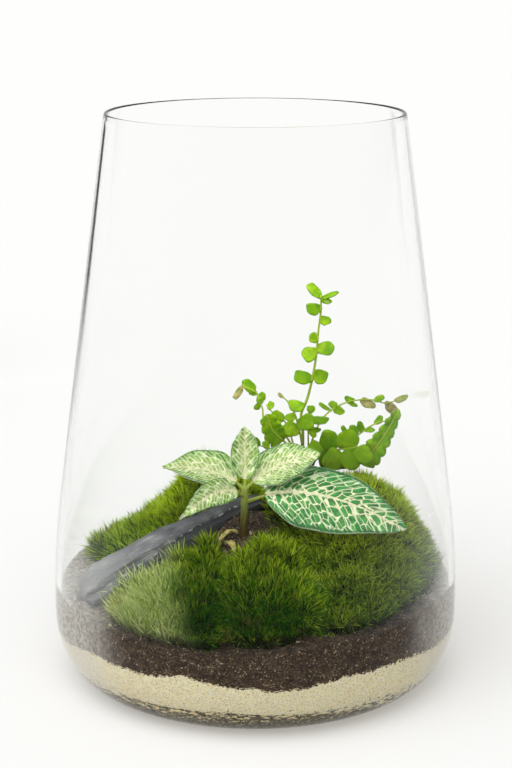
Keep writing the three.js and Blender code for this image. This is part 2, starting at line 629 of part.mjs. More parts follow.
// Finishes, as colour, roughness and metalness
const FINISH = {
  glass: [0xdfe9e4, 0.05, 0],
  charcoal: [0x34372f, 0.9, 0],
  sand: [0xd8cdb0, 0.95, 0],
  soil: [0x3a2a22, 0.95, 0],
  slate: [0x4d5157, 0.65, 0],
  moss: [0x5b8a1e, 0.85, 0],
  stem: [0x8f9a4a, 0.5, 0],
  nerve: [0xa9cf8e, 0.45, 0],
  nerveDark: [0x4f9a5e, 0.45, 0],
  fern: [0x7fb51c, 0.45, 0],
  crown: [0x5a4a24, 0.8, 0],
  dry: [0xa98d4d, 0.8, 0],
};

const terrarium = new THREE.Group();

function place(name, geometry, finish) {
  const [color, roughness, metalness] = FINISH[finish];
  const mesh = new THREE.Mesh(geometry, new THREE.MeshStandardMaterial({ color, roughness, metalness }));
  mesh.name = name;
  terrarium.add(mesh);
}

place('jar', jar(), 'glass');
place('charcoal_layer', charcoalLayer(), 'charcoal');
place('sand_layer', sandLayer(), 'sand');

const seats = slate(GAP).add(nerveStem(GAP)).add(crownBody(GAP));
place('soil_mound', shape(mound(soilBase(), 0).subtract(seats)), 'soil');
place('slate_stone', shape(slate(0)), 'slate');

let taken = mound(soilBase(), GAP).add(seats);
for (const cushion of CUSHIONS) {
  place(cushion.name, shape(cushionBody(cushion).subtract(taken)), 'moss');
  taken = taken.add(cushionColumn(cushion));
}

place('fittonia_stem', shape(nerveStem(0)), 'stem');
for (const leaf of LEAVES) place(leaf.name, nerveLeaf(leaf), leaf.width > 40 ? 'nerveDark' : 'nerve');

place('fern_crown', shape(FRONDS.reduce((left, item) => left.subtract(frondHole(item)), crownBody(0))), 'crown');
for (const item of FRONDS) place(item.name, shape(frond(item)), 'fern');

const ground = mound(soilBase(), GAP);
for (const scrap of SCRAPS) place(scrap.name, shape(solid(dryScrap(scrap)).subtract(ground)), 'dry');

export default terrarium;
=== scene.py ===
"""A glass jar terrarium: ground layers, slate, moss, a nerve plant and a fern around their solids."""

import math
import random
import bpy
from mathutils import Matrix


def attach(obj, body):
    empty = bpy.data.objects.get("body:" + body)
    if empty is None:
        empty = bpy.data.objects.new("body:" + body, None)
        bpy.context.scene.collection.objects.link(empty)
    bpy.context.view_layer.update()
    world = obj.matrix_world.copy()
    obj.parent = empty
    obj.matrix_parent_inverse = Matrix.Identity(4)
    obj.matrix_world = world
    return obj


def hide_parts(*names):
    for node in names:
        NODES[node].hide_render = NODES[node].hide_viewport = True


bl_info = {
    "name": "Terrarium Jar",
    "version": (1, 0, 0),
    "blender": (4, 5, 0),
    "location": "3D View > Sidebar > Terrarium",
    "description": "Builds a planted glass jar with moss, a nerve plant and a fern",
    "category": "Object",
}

import bmesh
import bpy
from bpy.props import FloatProperty, FloatVectorProperty, IntProperty, PointerProperty
from mathutils import Matrix, Vector, noise
from mathutils.bvhtree import BVHTree

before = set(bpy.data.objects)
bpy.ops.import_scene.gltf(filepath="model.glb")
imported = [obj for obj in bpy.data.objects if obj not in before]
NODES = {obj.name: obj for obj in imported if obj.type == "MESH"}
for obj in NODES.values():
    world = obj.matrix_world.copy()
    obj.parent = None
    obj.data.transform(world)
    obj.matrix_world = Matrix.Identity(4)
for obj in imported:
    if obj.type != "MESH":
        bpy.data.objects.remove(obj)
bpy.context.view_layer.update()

MM = 0.001
CLEARANCE = 0.3  # between the solids, in millimetres

# Jar, in millimetres
JAR_HEIGHT = 300
RIM_RADIUS = 77
BELLY_RADIUS = 108
BELLY_Z = 38
SHOULDER_Z = 97
FOOT_RADIUS = 81
CORNER_POWER = 2.2
WALL = 3
RIM_WALL = 1.8
FLOOR = 5
TAPER = (BELLY_RADIUS - RIM_RADIUS) / ((SHOULDER_Z - BELLY_Z) / 2 + JAR_HEIGHT - SHOULDER_Z)

# Ground layers: each one's top line on the glass as (angle, height), and its mean height
CHARCOAL_LINE = [(-150, 12), (-100, 12), (-48, 13.6), (-22, 14.9), (-5, 15.4), (11, 14), (29, 10.6),
                 (46, 8), (90, 9), (135, 11.5)]
SAND_LINE = [(-165, 31), (-120, 30), (-71, 28.1), (-51, 32.6), (-30, 31.3), (-20, 34), (-5, 30),
             (10, 28.4), (26, 32.2), (46, 33), (61, 30.6), (100, 32), (140, 30)]
SOIL_LINE = [(-140, 53), (-95, 52), (-63, 52), (-44, 49.7), (-30, 47), (-15, 46), (1, 47.5),
             (20, 50), (36, 51), (59, 56), (100, 53), (150, 54)]
CHARCOAL_MEAN = 12
SAND_MEAN = 31
MOUND_BASE = 52
PEAK = {"x": -3, "y": -5, "rise": 44, "reach": (100, 95), "power": 1.7, "blunt": 0.015}
SHOULDER = {"x": 62, "y": 8, "rise": 20, "reach": (26, 36)}

# Slate
SLATE_LINE = [(-87, -48, 54.5), (-39, -15, 81), (2, 12, 88)]
SLATE_SECTION = [(-10, -6), (-2, -7.5), (7, -7), (10, -4.5), (9, -2), (11, -1), (10, 2.5),
                 (6.5, 3.5), (5.5, 6), (-1, 7.5), (-8, 6), (-11, 1)]
SLATE_SCALES = [(0, 0.6), (0.03, 1.05), (0.12, 1.35), (0.28, 1.28), (0.46, 1.05), (0.66, 0.86),
                (0.86, 0.72), (1, 0.5)]

# Moss cushions, with the middle that their blades lean away from
CUSHIONS = {
    "moss_front_left": (-42, -64),
    "moss_front_centre": (5, -60),
    "moss_right": (60, -12),
    "moss_back": (-36, 40),
}

# Limits of the moss: triangles in one cover, and how far from the axis blades reach
MOST_TRIANGLES = 190000
COVER_RADIUS = 98.5

# Nerve plant
STEM = {"foot": (-6.4, -20, 66), "top": (-5.4, -20, 107), "radii": (2.4, 1.9),
        "joints": (84, 98, 105)}
LEAVES = [
    {"name": "fittonia_leaf_left", "joint": 105, "rib": [(-9.6, -19, 109), (-28, -16, 118.5),
     (-48.7, -15, 115.8)], "side": (0.05, 0.87, 0.5), "width": 26, "fold": 12,
     "taper": 1.15},
    {"name": "fittonia_leaf_front", "joint": 101, "rib": [(-9, -26, 106), (-21, -40, 114.5),
     (-37.5, -54, 100)], "side": (-0.5, 0.3, 0.8), "width": 14, "fold": 4,
     "taper": 1.1},
    {"name": "fittonia_leaf_centre", "joint": 105.5, "rib": [(-5.4, -18.6, 110), (-5.4, -13, 124),
     (-5.3, -12, 136.5)], "side": (-1, 0, 0), "width": 16, "fold": 22, "taper": 0.8},
    {"name": "fittonia_leaf_right", "joint": 105, "rib": [(-1.6, -19, 109), (14, -14, 121),
     (34, -13, 122)], "side": (-0.15, 0.86, 0.48), "width": 27, "fold": 2,
     "taper": 0.85},
    {"name": "fittonia_leaf_large", "joint": 98, "rib": [(4.7, -24, 103.6), (34, -25, 111.5),
     (76.7, -41, 90.6)], "side": (0.02, 0.87, 0.5), "width": 45, "fold": -8, "taper": 0.74},
]

# Leaves of the nerve plant wider than this are large, and each kind has its own veins and
# its own spacing of puckers
LARGE_LEAF = 40
VEINS = {
    "nerve": {"spacing": 2.7, "rows": 1, "cell": 4.4, "net": 0.2, "pale_heart": 0.85,
              "midrib": 0.62, "rim": 0.05, "lean": 0.95},
    "nerve_dark": {"spacing": 8.0, "rows": 2, "cell": 6.5, "net": 0.37, "pale_heart": 0.0,
                   "midrib": 1.2, "rim": 0.1, "lean": 0.75},
}
PUCKERS = {"nerve": 5.4, "nerve_dark": 8.0}

# Colour of the faint streaks on the stalks
STREAK = (0.12, 0.08, 0.03)

# Millimetres over which the leaves' Blade map and the slate's Facet map run from 0 to 1
BLADE_SPAN = 200
FACET_SPAN = 40

# Fern: each frond's route, its leaflets as (place, angle, length, width, age) and any blade
CROWN = {"x": 26.5, "y": 23.5, "foot": 66, "top": 101, "radii": (8, 6)}
STIPE = 21
FRONDS = [
    {"name": "fern_frond_tall", "radius": 0.9,
     "route": [(26, 24.5, 96), (26, 25.5, 112), (26, 26, 125), (25, 26, 133), (28, 25, 141),
               (31, 23, 154), (33, 21, 168), (34, 20, 182), (35, 18, 191), (35, 17, 201)],
     "leaflets": [(0.44, 165, 10.5, 8, 0), (0.47, -10, 8.5, 9, 0), (0.61, 175, 8, 9.5, 0),
                  (0.65, 5, 9.5, 8.5, 0), (0.71, 155, 5, 6.5, 0), (0.84, -5, 6, 5.5, 0),
                  (0.91, 170, 8.5, 7, 0.05), (0.99, 135, 10, 6, 0), (0.98, -20, 6, 4, 0.4),
                  (0.98, 20, 10, 3, 0.1)]},
    {"name": "fern_frond_left", "radius": 0.7,
     "route": [(23.3, 26.5, 96), (21, 29, 112), (15, 33, 121), (5, 37, 126), (4, 39, 133),
               (2, 40, 137), (1, 41, 141), (-7, 42, 145)],
     "leaflets": [(1, -125, 9, 4, 0.75), (0.83, 135, 9, 6.5, 0.15), (0.8, -175, 4.5, 3, 0.2),
                  (0.67, -125, 5, 3.5, 0.3), (0.73, 35, 4.5, 5, 0.1), (0.74, -55, 4, 4, 0.5)]},
    {"name": "fern_frond_left_inner", "radius": 0.6,
     "route": [(23.5, 24, 96), (21.5, 26, 113), (18, 28, 125), (15, 28, 130), (8, 28, 135),
               (6, 28, 138)],
     "leaflets": [(0.9, 65, 4.5, 4, 0.1), (0.52, 140, 7.5, 6, 0), (0.68, -50, 4.5, 4, 0.1)]},
    {"name": "fern_frond_front", "radius": 0.7,
     "route": [(26.3, 21.3, 96), (26, 19.5, 114), (23, 14, 131), (21, 11, 138), (17, 10, 145),
               (15, 9, 147)],
     "leaflets": [(1, 135, 4, 2, 0.8), (0.86, -10, 9, 7, 0), (0.62, -165, 6, 5, 0),
                  (0.3, 160, 9, 9, 0), (0.4, 35, 10, 9.5, 0)]},
    {"name": "fern_sword_left", "radius": 0.8,
     "blade": {"start": 0.2, "width": 17, "end": 0.5, "lobes": 4},
     "route": [(23.8, 21.8, 96), (21, 21.5, 112), (16, 21, 119), (10, 20, 125), (6, 18, 135)]},
    {"name": "fern_frond_centre", "radius": 0.6,
     "route": [(28.2, 23, 96), (29, 22, 114), (29, 21, 127), (30, 20, 132), (30, 19, 136)],
     "leaflets": [(1, 90, 4, 5, 0), (0.78, -5, 10.5, 5, 0), (0.44, 0, 7, 3.5, 0.1),
                  (0.55, -55, 7, 4, 0)]},
    {"name": "fern_frond_right_upper", "radius": 0.6,
     "route": [(28, 26.7, 96), (30, 28, 113), (35, 31, 126), (40, 33, 132), (47, 35, 136),
               (55, 37, 138), (66, 38, 138), (72, 39, 136), (78, 40, 137)],
     "leaflets": [(0.35, 150, 8, 2.5, 0), (0.42, 155, 5, 4.5, 0.1), (0.39, -20, 6, 5, 0.1),
                  (0.59, 165, 5.5, 3.5, 0.2), (0.53, -25, 6.5, 2.5, 0.1), (0.66, -25, 9, 5.5, 0.8),
                  (0.79, 25, 6, 4, 0.3), (0.91, -40, 8.5, 6, 0.85), (1, 20, 8, 4, 0.6)]},
    {"name": "fern_frond_right_middle", "radius": 0.7,
     "route": [(30, 24.8, 96), (33, 23.5, 108), (40, 18, 113), (47, 16, 120), (53, 15, 123),
               (57, 14, 126), (62, 13, 130), (68, 12, 133), (73, 11, 133)],
     "leaflets": [(0.4, 120, 9, 3, 0.1), (0.5, 115, 6.5, 5, 0.1), (0.6, 110, 6, 4.5, 0.2),
                  (0.64, 5, 5.5, 3, 0.1), (0.8, 50, 5.5, 4, 0.2), (0.93, 10, 6.5, 4, 0.1)]},
    {"name": "fern_sword_right", "radius": 0.8,
     "blade": {"start": 0.26, "width": 17, "end": 0.26, "lobes": 7},
     "route": [(30, 22.3, 96), (34, 19, 103), (44, 14, 106), (55, 11, 109), (64, 9, 118),
               (71, 8, 129), (77, 7, 141)]},
    {"name": "fern_frond_low_right", "radius": 0.7,
     "route": [(28.6, 20.6, 96), (31, 16.5, 110), (38, 11, 117), (47, 7, 119), (55, 4.5, 121)],
     "leaflets": [(0.15, 150, 9, 8, 0.3), (0.35, 95, 12, 11, 0.25), (0.62, 65, 13, 13, 0),
                  (0.5, -115, 12, 12, 0), (0.8, -80, 12, 12, 0), (1, -50, 11, 10, 0),
                  (0.25, -90, 10, 9, 0)]},
    {"name": "fern_frond_low_left", "radius": 0.6,
     "route": [(25, 19.6, 96), (22, 16.5, 108), (15, 11, 116), (7, 6, 120), (2, 4, 122)],
     "leaflets": [(1, 125, 5, 5, 0.1), (0.7, 130, 4.5, 4, 0.1)]},
]

# Dry scraps
SCRAPS = [
    {"name": "dry_scrap_long", "x": -14, "y": -23, "length": 11, "width": 5, "turn": 20, "arch": 3},
    {"name": "dry_scrap_short", "x": -13, "y": -29, "length": 8, "width": 4.5, "turn": -50,
     "arch": 2.5},
]

# Stage, in metres: cards behind the jar that draw its outline, and the light as a direction
# with the cosines between which it fades in
FLAG_HEIGHT = 0.26
FLAGS = [
    {"name": "flag_left", "x": -0.35, "length": 0.1, "turn": 27, "tone": 0.0},
    {"name": "flag_right", "x": 0.345, "length": 0.06, "turn": -27, "tone": 0.55},
]
KEY_LIGHT = ((-0.2, -0.46, 0.9), 0.74, 0.98)
SIDE_LIGHT = ((-1, -0.15, 0.2), 0.6, 0.95)
SURROUND = (1, 0.995, 0.985)


# Small shared maths

def lerp(a, b, t):
    """The number a share t of the way from a to b."""
    return a + (b - a) * t


def clamp(value, low=0.0, high=1.0):
    """The value kept between two limits."""
    return max(low, min(high, value))


def smooth(t):
    """An S-shaped step from 0 to 1."""
    t = clamp(t)
    return t * t * (3 - 2 * t)


def draws(seed):
    """A repeatable stream of numbers from 0 to 1, the same one that the solids use."""
    state = seed
    mask = 0xFFFFFFFF
    while True:
        state = (state + 0x6D2B79F5) & mask
        mixed = ((state ^ (state >> 15)) * (1 | state)) & mask
        mixed = ((mixed + (((mixed ^ (mixed >> 7)) * (61 | mixed)) & mask)) & mask) ^ mixed
        yield ((mixed ^ (mixed >> 14)) & mask) / 4294967296


def around(stops, angle):
    """A smooth periodic curve through (angle, value) stops."""
    for index, (start, low) in enumerate(stops):
        end, high = stops[(index + 1) % len(stops)]
        span = (end - start) % 360
        along = (angle - start) % 360
        if along < span:
            return lerp(low, high, smooth(along / span))
    return stops[0][1]


def polar(angle, radius, z, x=0.0, y=0.0):
    """A point at an angle in degrees round an upright axis, 0 at the front."""
    turn = math.radians(angle)
    return Vector((x + radius * math.sin(turn), y - radius * math.cos(turn), z))


def angle_of(x, y):
    """The angle in degrees round the jar's axis of a point in plan."""
    return math.degrees(math.atan2(x, -y))


def speckle(point, size, seed=0.0):
    """Smooth noise from -1 to 1 with features of a size, in the point's own unit."""
    return noise.noise(Vector(point) / size + Vector((seed, seed * 1.7, seed * 2.3)))


# The jar's outline and the ground's surface, in millimetres

def jar_radius(z, foot, floor, belly):
    """Radius of one of the jar's surfaces at a height."""
    if z < BELLY_Z:
        down = (BELLY_Z - z) / (BELLY_Z - floor)
        return foot + (belly - foot) * (1 - down ** CORNER_POWER) ** (1 / CORNER_POWER)
    bend = min(z, SHOULDER_Z) - BELLY_Z
    return belly - TAPER * bend ** 2 / (2 * (SHOULDER_Z - BELLY_Z)) - TAPER * max(z - SHOULDER_Z, 0)


def outside_radius(z):
    """Radius of the jar's outside."""
    return jar_radius(z, FOOT_RADIUS, 0, BELLY_RADIUS)


def inside_radius(z):
    """Radius of the jar's inside."""
    return jar_radius(z, FOOT_RADIUS - WALL - 1, FLOOR, BELLY_RADIUS - WALL)


def soil_top(x, y):
    """Height of the soil's surface."""
    out = min(math.hypot(x, y) / inside_radius(MOUND_BASE), 1)
    level = lerp(MOUND_BASE, around(SOIL_LINE, angle_of(x, y)), out)
    away = math.sqrt(
        ((x - PEAK["x"]) / PEAK["reach"][0]) ** 2
        + ((y - PEAK["y"]) / PEAK["reach"][1]) ** 2
        + PEAK["blunt"]
    )
    peak = PEAK["rise"] * max(1 - away, 0) ** PEAK["power"]
    spread = (((x - SHOULDER["x"]) / SHOULDER["reach"][0]) ** 2
              + ((y - SHOULDER["y"]) / SHOULDER["reach"][1]) ** 2)
    return level + peak + SHOULDER["rise"] * math.exp(-spread) * (1 - out ** 6)


# Curves

def bezier(points, t):
    """Point and direction on a curve with one control point."""
    a, b, c = (Vector(p) for p in points)
    point = a * (1 - t) ** 2 + b * 2 * t * (1 - t) + c * t ** 2
    return point, ((b - a) * (1 - t) + (c - b) * t).normalized()


def slate_frame():
    """Directions along the slate, across it and up out of it."""
    axis = (Vector(SLATE_LINE[2]) - Vector(SLATE_LINE[0])).normalized()
    across = axis.cross(Vector((0, 0, 1))).normalized()
    return axis, across, across.cross(axis)


class Route:
    """A smooth curve through points, measured along its length."""

    SAMPLES = 200

    def __init__(self, points):
        points = [Vector(p) for p in points]
        self.stops = [points[0] * 2 - points[1], *points, points[-1] * 2 - points[-2]]
        self.spans = len(points) - 1
        self.line = [self.curve(i / self.SAMPLES) for i in range(self.SAMPLES + 1)]
        self.marks = [0.0]
        for a, b in zip(self.line, self.line[1:]):
            self.marks.append(self.marks[-1] + (b - a).length)
        self.length = self.marks[-1]

    def curve(self, share):
        """Point at a share of the spans."""
        span = min(int(share * self.spans), self.spans - 1)
        t = share * self.spans - span
        p = self.stops[span:span + 4]
        d = [max((b - a).length ** 0.5, 1e-4) for a, b in zip(p, p[1:])]
        lead = ((p[1] - p[0]) / d[0] - (p[2] - p[0]) / (d[0] + d[1]) + (p[2] - p[1]) / d[1]) * d[1]
        trail = ((p[2] - p[1]) / d[1] - (p[3] - p[1]) / (d[1] + d[2]) + (p[3] - p[2]) / d[2]) * d[1]
        gap = p[1] - p[2]
        return (p[1] + lead * t + (-3 * gap - 2 * lead - trail) * t ** 2
                + (2 * gap + lead + trail) * t ** 3)

    def at(self, place):
        """Point and direction at a share of the length."""
        goal = clamp(place) * self.length
        index = 0
        while index < self.SAMPLES - 1 and self.marks[index + 1] < goal:
            index += 1
        a, b = self.line[index], self.line[index + 1]
        step = max(self.marks[index + 1] - self.marks[index], 1e-9)
        return a.lerp(b, clamp((goal - self.marks[index]) / step)), (b - a).normalized()


def leafy(route, place):
    """The place on a frond's stalk, past its bare foot."""
    return lerp(STIPE / route.length, 1, place)


# Mesh helpers. Meshes are worked out in millimetres and scaled when they are finished.

def sweep(bm, stations, sides, seed=0.0, rough=0.0):
    """A closed round tube through (point, direction, radius) stations."""
    across = stations[0][1].orthogonal().normalized()
    ring = []
    for index, (point, along, radius) in enumerate(stations):
        across = (across - along * across.dot(along)).normalized()
        up = along.cross(across)
        ring = next_ring(bm, ring, sides)
        for k, vert in enumerate(ring):
            turn = 2 * math.pi * k / sides
            bump = 1 + rough * speckle((index * 0.7, math.cos(turn) * 2, math.sin(turn) * 2), 1, seed)
            vert.co = point + (across * math.cos(turn) + up * math.sin(turn)) * radius * bump
    bmesh.ops.contextual_create(bm, geom=ring_edges(bm, ring))
    bmesh.ops.recalc_face_normals(bm, faces=bm.faces)


def ring_edges(bm, ring):
    """The edges round a ring of corners."""
    return [bm.edges.get(pair) for pair in zip(ring, ring[1:] + ring[:1])]


def next_ring(bm, ring, sides):
    """Extrudes a swept shape's last ring, or starts it, and gives the new corners in order."""
    if not ring:
        return bmesh.ops.create_circle(bm, cap_ends=True, segments=sides, radius=1)["verts"]
    made = set(bmesh.ops.extrude_edge_only(bm, edges=ring_edges(bm, ring))["geom"])
    return [next(e.other_vert(v) for e in v.link_edges if e.other_vert(v) in made) for v in ring]


def turned(outline, steps, gap):
    """A bmesh of an outline of (radius, height) spun once round the upright axis."""
    bm = bmesh.new()
    verts = [bm.verts.new((radius, 0, z)) for radius, z in outline]
    edges = [bm.edges.new(pair) for pair in zip(verts, verts[1:])]
    bmesh.ops.spin(bm, geom=verts + edges, cent=(0, 0, 0), axis=(0, 0, 1), angle=2 * math.pi,
                   steps=steps, use_merge=True)
    bmesh.ops.remove_doubles(bm, verts=bm.verts, dist=gap)
    bmesh.ops.recalc_face_normals(bm, faces=bm.faces)
    return bm


def stem_stations(route, radii, steps):
    """Stations of a tapering stem along a route."""
    return [(*route.at(i / steps), lerp(*radii, i / steps)) for i in range(steps + 1)]


def sheet_grid(bm, columns, rows, place):
    """A grid whose corners go where place(across from -1 to 1, along from 0 to 1) says."""
    verts = bmesh.ops.create_grid(bm, x_segments=columns, y_segments=rows, size=1)["verts"]
    spots = {v: (v.co.x, (v.co.y + 1) / 2) for v in verts}
    for vert, (u, t) in spots.items():
        vert.co = place(u, t)
    return spots


def folded(middle, along, side, reach, fold, lift):
    """A leaf's point at a reach from its rib: the halves fold up, and the point is lifted."""
    out = (side - along * side.dot(along)).normalized()
    face = along.cross(out)
    if face.z - face.y < 0:
        face.negate()
    return middle + out * reach * math.cos(fold) + face * (abs(reach) * math.sin(fold) + lift)


def face_up(bm):
    """Turns a sheet so that its faces look up or forwards."""
    bm.normal_update()
    facing = sum((f.normal.z - f.normal.y) * f.calc_area() for f in bm.faces)
    if facing < 0:
        bmesh.ops.reverse_faces(bm, faces=bm.faces)


def write_map(faces, layer, at):
    """Writes a UV map, with the same place for all of a vertex's corners."""
    for face in faces:
        for loop in face.loops:
            loop[layer].uv = at(loop.vert)


def mesh_of(bm, name):
    """The mesh of a bmesh, which is then freed."""
    mesh = bpy.data.meshes.new(name)
    bm.to_mesh(mesh)
    bm.free()
    return mesh


def add_thick(bm, sheet, thickness):
    """Adds a leaf's sheet to a piece as a closed skin."""
    face_up(sheet)
    bmesh.ops.solidify(sheet, geom=sheet.faces[:], thickness=thickness)
    bmesh.ops.recalc_face_normals(sheet, faces=sheet.faces)
    mesh = mesh_of(sheet, "sheet")
    bm.from_mesh(mesh)
    bpy.data.meshes.remove(mesh)


def thicken(piece, thickness):
    """Gives a one-sheet piece its thickness in millimetres, below its faces."""
    skin = piece.modifiers.new("Thickness", "SOLIDIFY")
    skin.thickness = thickness * MM
    skin.offset = -1


def link(name, data):
    """A new object in the scene."""
    made = bpy.data.objects.new(name, data)
    bpy.context.scene.collection.objects.link(made)
    return made


def give(bm, name, material, slot, *nodes, smooth_faces=True):
    """Makes the finished piece from a bmesh in millimetres, riding with the jar."""
    bmesh.ops.scale(bm, vec=(MM, MM, MM), verts=bm.verts)
    mesh = mesh_of(bm, name)
    for polygon in mesh.polygons:
        polygon.use_smooth = smooth_faces
    mesh.materials.append(material)
    piece = link(name, mesh)
    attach(piece, "root")
    if nodes:
        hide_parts(*nodes)
    return piece


# Materials

class Value:
    """A node's output that can be used in an expression."""

    def __init__(self, recipe, socket):
        self.recipe = recipe
        self.socket = socket

    def math(self, operation, *inputs):
        """The result of one Math node."""
        return self.recipe.node("ShaderNodeMath", {"operation": operation},
                                dict(enumerate(inputs)))

    def __add__(self, other):
        return self.math("ADD", self, other)

    def __radd__(self, other):
        return self.math("ADD", other, self)

    def __sub__(self, other):
        return self.math("SUBTRACT", self, other)

    def __rsub__(self, other):
        return self.math("SUBTRACT", other, self)

    def __mul__(self, other):
        return self.math("MULTIPLY", self, other)

    def __rmul__(self, other):
        return self.math("MULTIPLY", other, self)

    def __truediv__(self, other):
        return self.math("DIVIDE", self, other)

    def __rtruediv__(self, other):
        return self.math("DIVIDE", other, self)

    def __abs__(self):
        return self.math("ABSOLUTE", self)

    def clamped(self):
        """The value kept from 0 to 1."""
        return self.math("MAXIMUM", self.math("MINIMUM", self, 1), 0)


class Recipe:
    """The nodes of one new material, or of one new world."""

    def __init__(self, name, kind="materials"):
        self.owner = getattr(bpy.data, kind).new(name)
        self.owner.use_nodes = True
        self.tree = self.owner.node_tree
        self.tree.nodes.clear()

    def node(self, kind, settings=None, sockets=None, output=0):
        """Adds a node, sets it, joins its sockets, and gives one output."""
        made = self.tree.nodes.new(kind)
        for name, value in (settings or {}).items():
            if name == "stops":
                self.set_stops(made.color_ramp.elements, value)
            else:
                setattr(made, name, value)
        for name, value in (sockets or {}).items():
            if isinstance(value, Value):
                self.tree.links.new(value.socket, made.inputs[name])
            else:
                made.inputs[name].default_value = value
        return Value(self, made.outputs[output]) if made.outputs else None

    @staticmethod
    def set_stops(elements, stops):
        """Sets a ramp's stops as (place, colour)."""
        while len(elements) < len(stops):
            elements.new(0.5)
        for element, (place, colour) in zip(elements, stops):
            element.position = place
            element.color = rgba(colour)

    def spot(self, scale=1 / MM, stretch=(1, 1, 1)):
        """Object coordinates, in millimetres unless the scale says otherwise."""
        place = self.node("ShaderNodeTexCoord", output="Object")
        return self.node("ShaderNodeMapping", {}, {
            "Vector": place, "Scale": tuple(scale * axis for axis in stretch)})

    def part(self, place, axis):
        """One number of a vector or colour: 0 is x, 1 is y and 2 is z."""
        return self.node("ShaderNodeSeparateXYZ", {}, {"Vector": place}, axis)

    def uv(self, name, axis):
        """One number of a named UV map: 0 is its u and 1 its v."""
        return self.part(self.node("ShaderNodeUVMap", {"uv_map": name}), axis)

    def dot(self, place, way):
        """How far a place lies along a direction."""
        return self.node("ShaderNodeVectorMath", {"operation": "DOT_PRODUCT"},
                         {0: place, 1: tuple(way)}, "Value")

    def vector(self, x, y, z=0.0):
        """A vector from three values."""
        return self.node("ShaderNodeCombineXYZ", {}, {"X": x, "Y": y, "Z": z})

    def noise(self, place, size, detail=3.0, rough=0.55):
        """Cloudy noise with features of a size."""
        return self.node("ShaderNodeTexNoise", {}, {
            "Vector": place, "Scale": 1 / size, "Detail": detail, "Roughness": rough})

    def cells(self, place, size, feature="F1", output=0, jitter=1.0):
        """Voronoi cells of a size."""
        return self.node("ShaderNodeTexVoronoi", {"feature": feature}, {
            "Vector": place, "Scale": 1 / size, "Randomness": jitter}, output)

    def step(self, value, low, high, low_to=0.0, high_to=1.0):
        """A smooth step of a value between two limits."""
        return self.node("ShaderNodeMapRange", {"interpolation_type": "SMOOTHSTEP"}, {
            "Value": value, "From Min": low, "From Max": high, "To Min": low_to, "To Max": high_to})

    def blend(self, share, a, b):
        """Two colours mixed by a share."""
        a, b = (colour if isinstance(colour, Value) else rgba(colour) for colour in (a, b))
        return self.node("ShaderNodeMix", {"data_type": "RGBA"}, {0: share, 6: a, 7: b}, 2)

    def coats(self, colour, *coats):
        """A colour under coats, each given as (share, colour)."""
        for share, coat in coats:
            colour = self.blend(share, colour, coat)
        return colour

    def ramp(self, value, *stops):
        """A colour ramp of (place, colour) stops."""
        return self.node("ShaderNodeValToRGB", {"stops": stops}, {"Fac": value})

    def bump(self, height, distance):
        """A bump from a height, at a distance in millimetres."""
        return self.node("ShaderNodeBump", {}, {
            "Height": height, "Distance": distance * MM, "Strength": 1.0})

    def surface(self, **sockets):
        """Ends the material in a Principled shader and gives the material."""
        named = {name.replace("_", " "): rgba(value) if isinstance(value, tuple) else value
                 for name, value in sockets.items()}
        shader = self.node("ShaderNodeBsdfPrincipled", {}, named)
        self.node("ShaderNodeOutputMaterial", {}, {"Surface": shader})
        return self.owner


def rgba(colour):
    """A colour with its alpha."""
    return tuple(colour)[:3] + (1.0,)


def clear_glass(jar):
    """Clear, faintly green jar glass."""
    recipe = Recipe("Clear glass")
    return recipe.surface(Base_Color=tuple(jar.tint), Roughness=0.0, IOR=1.46,
                          Specular_Tint=(0.07, 0.07, 0.07), Transmission_Weight=1.0)


def grit(recipe, place, size):
    """Grain tone from 0 to 1 and grain height of packed grains of a size."""
    tone = recipe.part(recipe.cells(place, size, output="Color"), 0)
    dome = 1 - recipe.cells(place, size, output="Distance")
    return tone, dome


def painted_glare(recipe, colour, ground):
    """A bed's colour under a painted reflection: the glass's pale glare at the jar's two sides,
    mottled.
    """
    place = recipe.spot()
    aside = abs(recipe.part(place, 0) - 5) + recipe.noise(place, 12, 3) * 14
    mottle = recipe.step(recipe.noise(place, 2.2, 4, 0.7), 0.36, 0.6, 0.42, 0.86)
    # Painted reflection of the glass towards the jar's left and right sides.
    return recipe.blend(recipe.step(aside, 74, 102) * mottle, colour, ground.reflection)


def charcoal_finish(ground):
    """Dark grey-green charcoal grit with a few pale grains, and sand that has sifted in."""
    recipe = Recipe("Charcoal grit")
    place = recipe.spot()
    tone, dome = grit(recipe, place, 1.1)
    colour = recipe.ramp(tone * 0.75 + recipe.noise(place, 9) * 0.25, (0.1, ground.charcoal_dark),
                         (0.75, ground.charcoal_light), (0.96, ground.fleck))
    haze = recipe.step(recipe.noise(place, 16), 0.55, 0.72)
    trickle = recipe.noise(recipe.spot(stretch=(1, 1, 2.5)), 3.5, 4, 0.7)
    sifted = recipe.step(trickle + recipe.step(recipe.part(place, 2), 5, 14) * 0.16, 0.66, 0.7)
    colour = recipe.coats(colour, (haze * 0.35, ground.charcoal_light), (sifted, ground.sand_mid))
    # The colour carries the painted reflection of the glass at the jar's sides.
    return recipe.surface(Base_Color=painted_glare(recipe, colour, ground), Roughness=0.8,
                          Normal=recipe.bump(dome + tone * 0.5, 0.5))


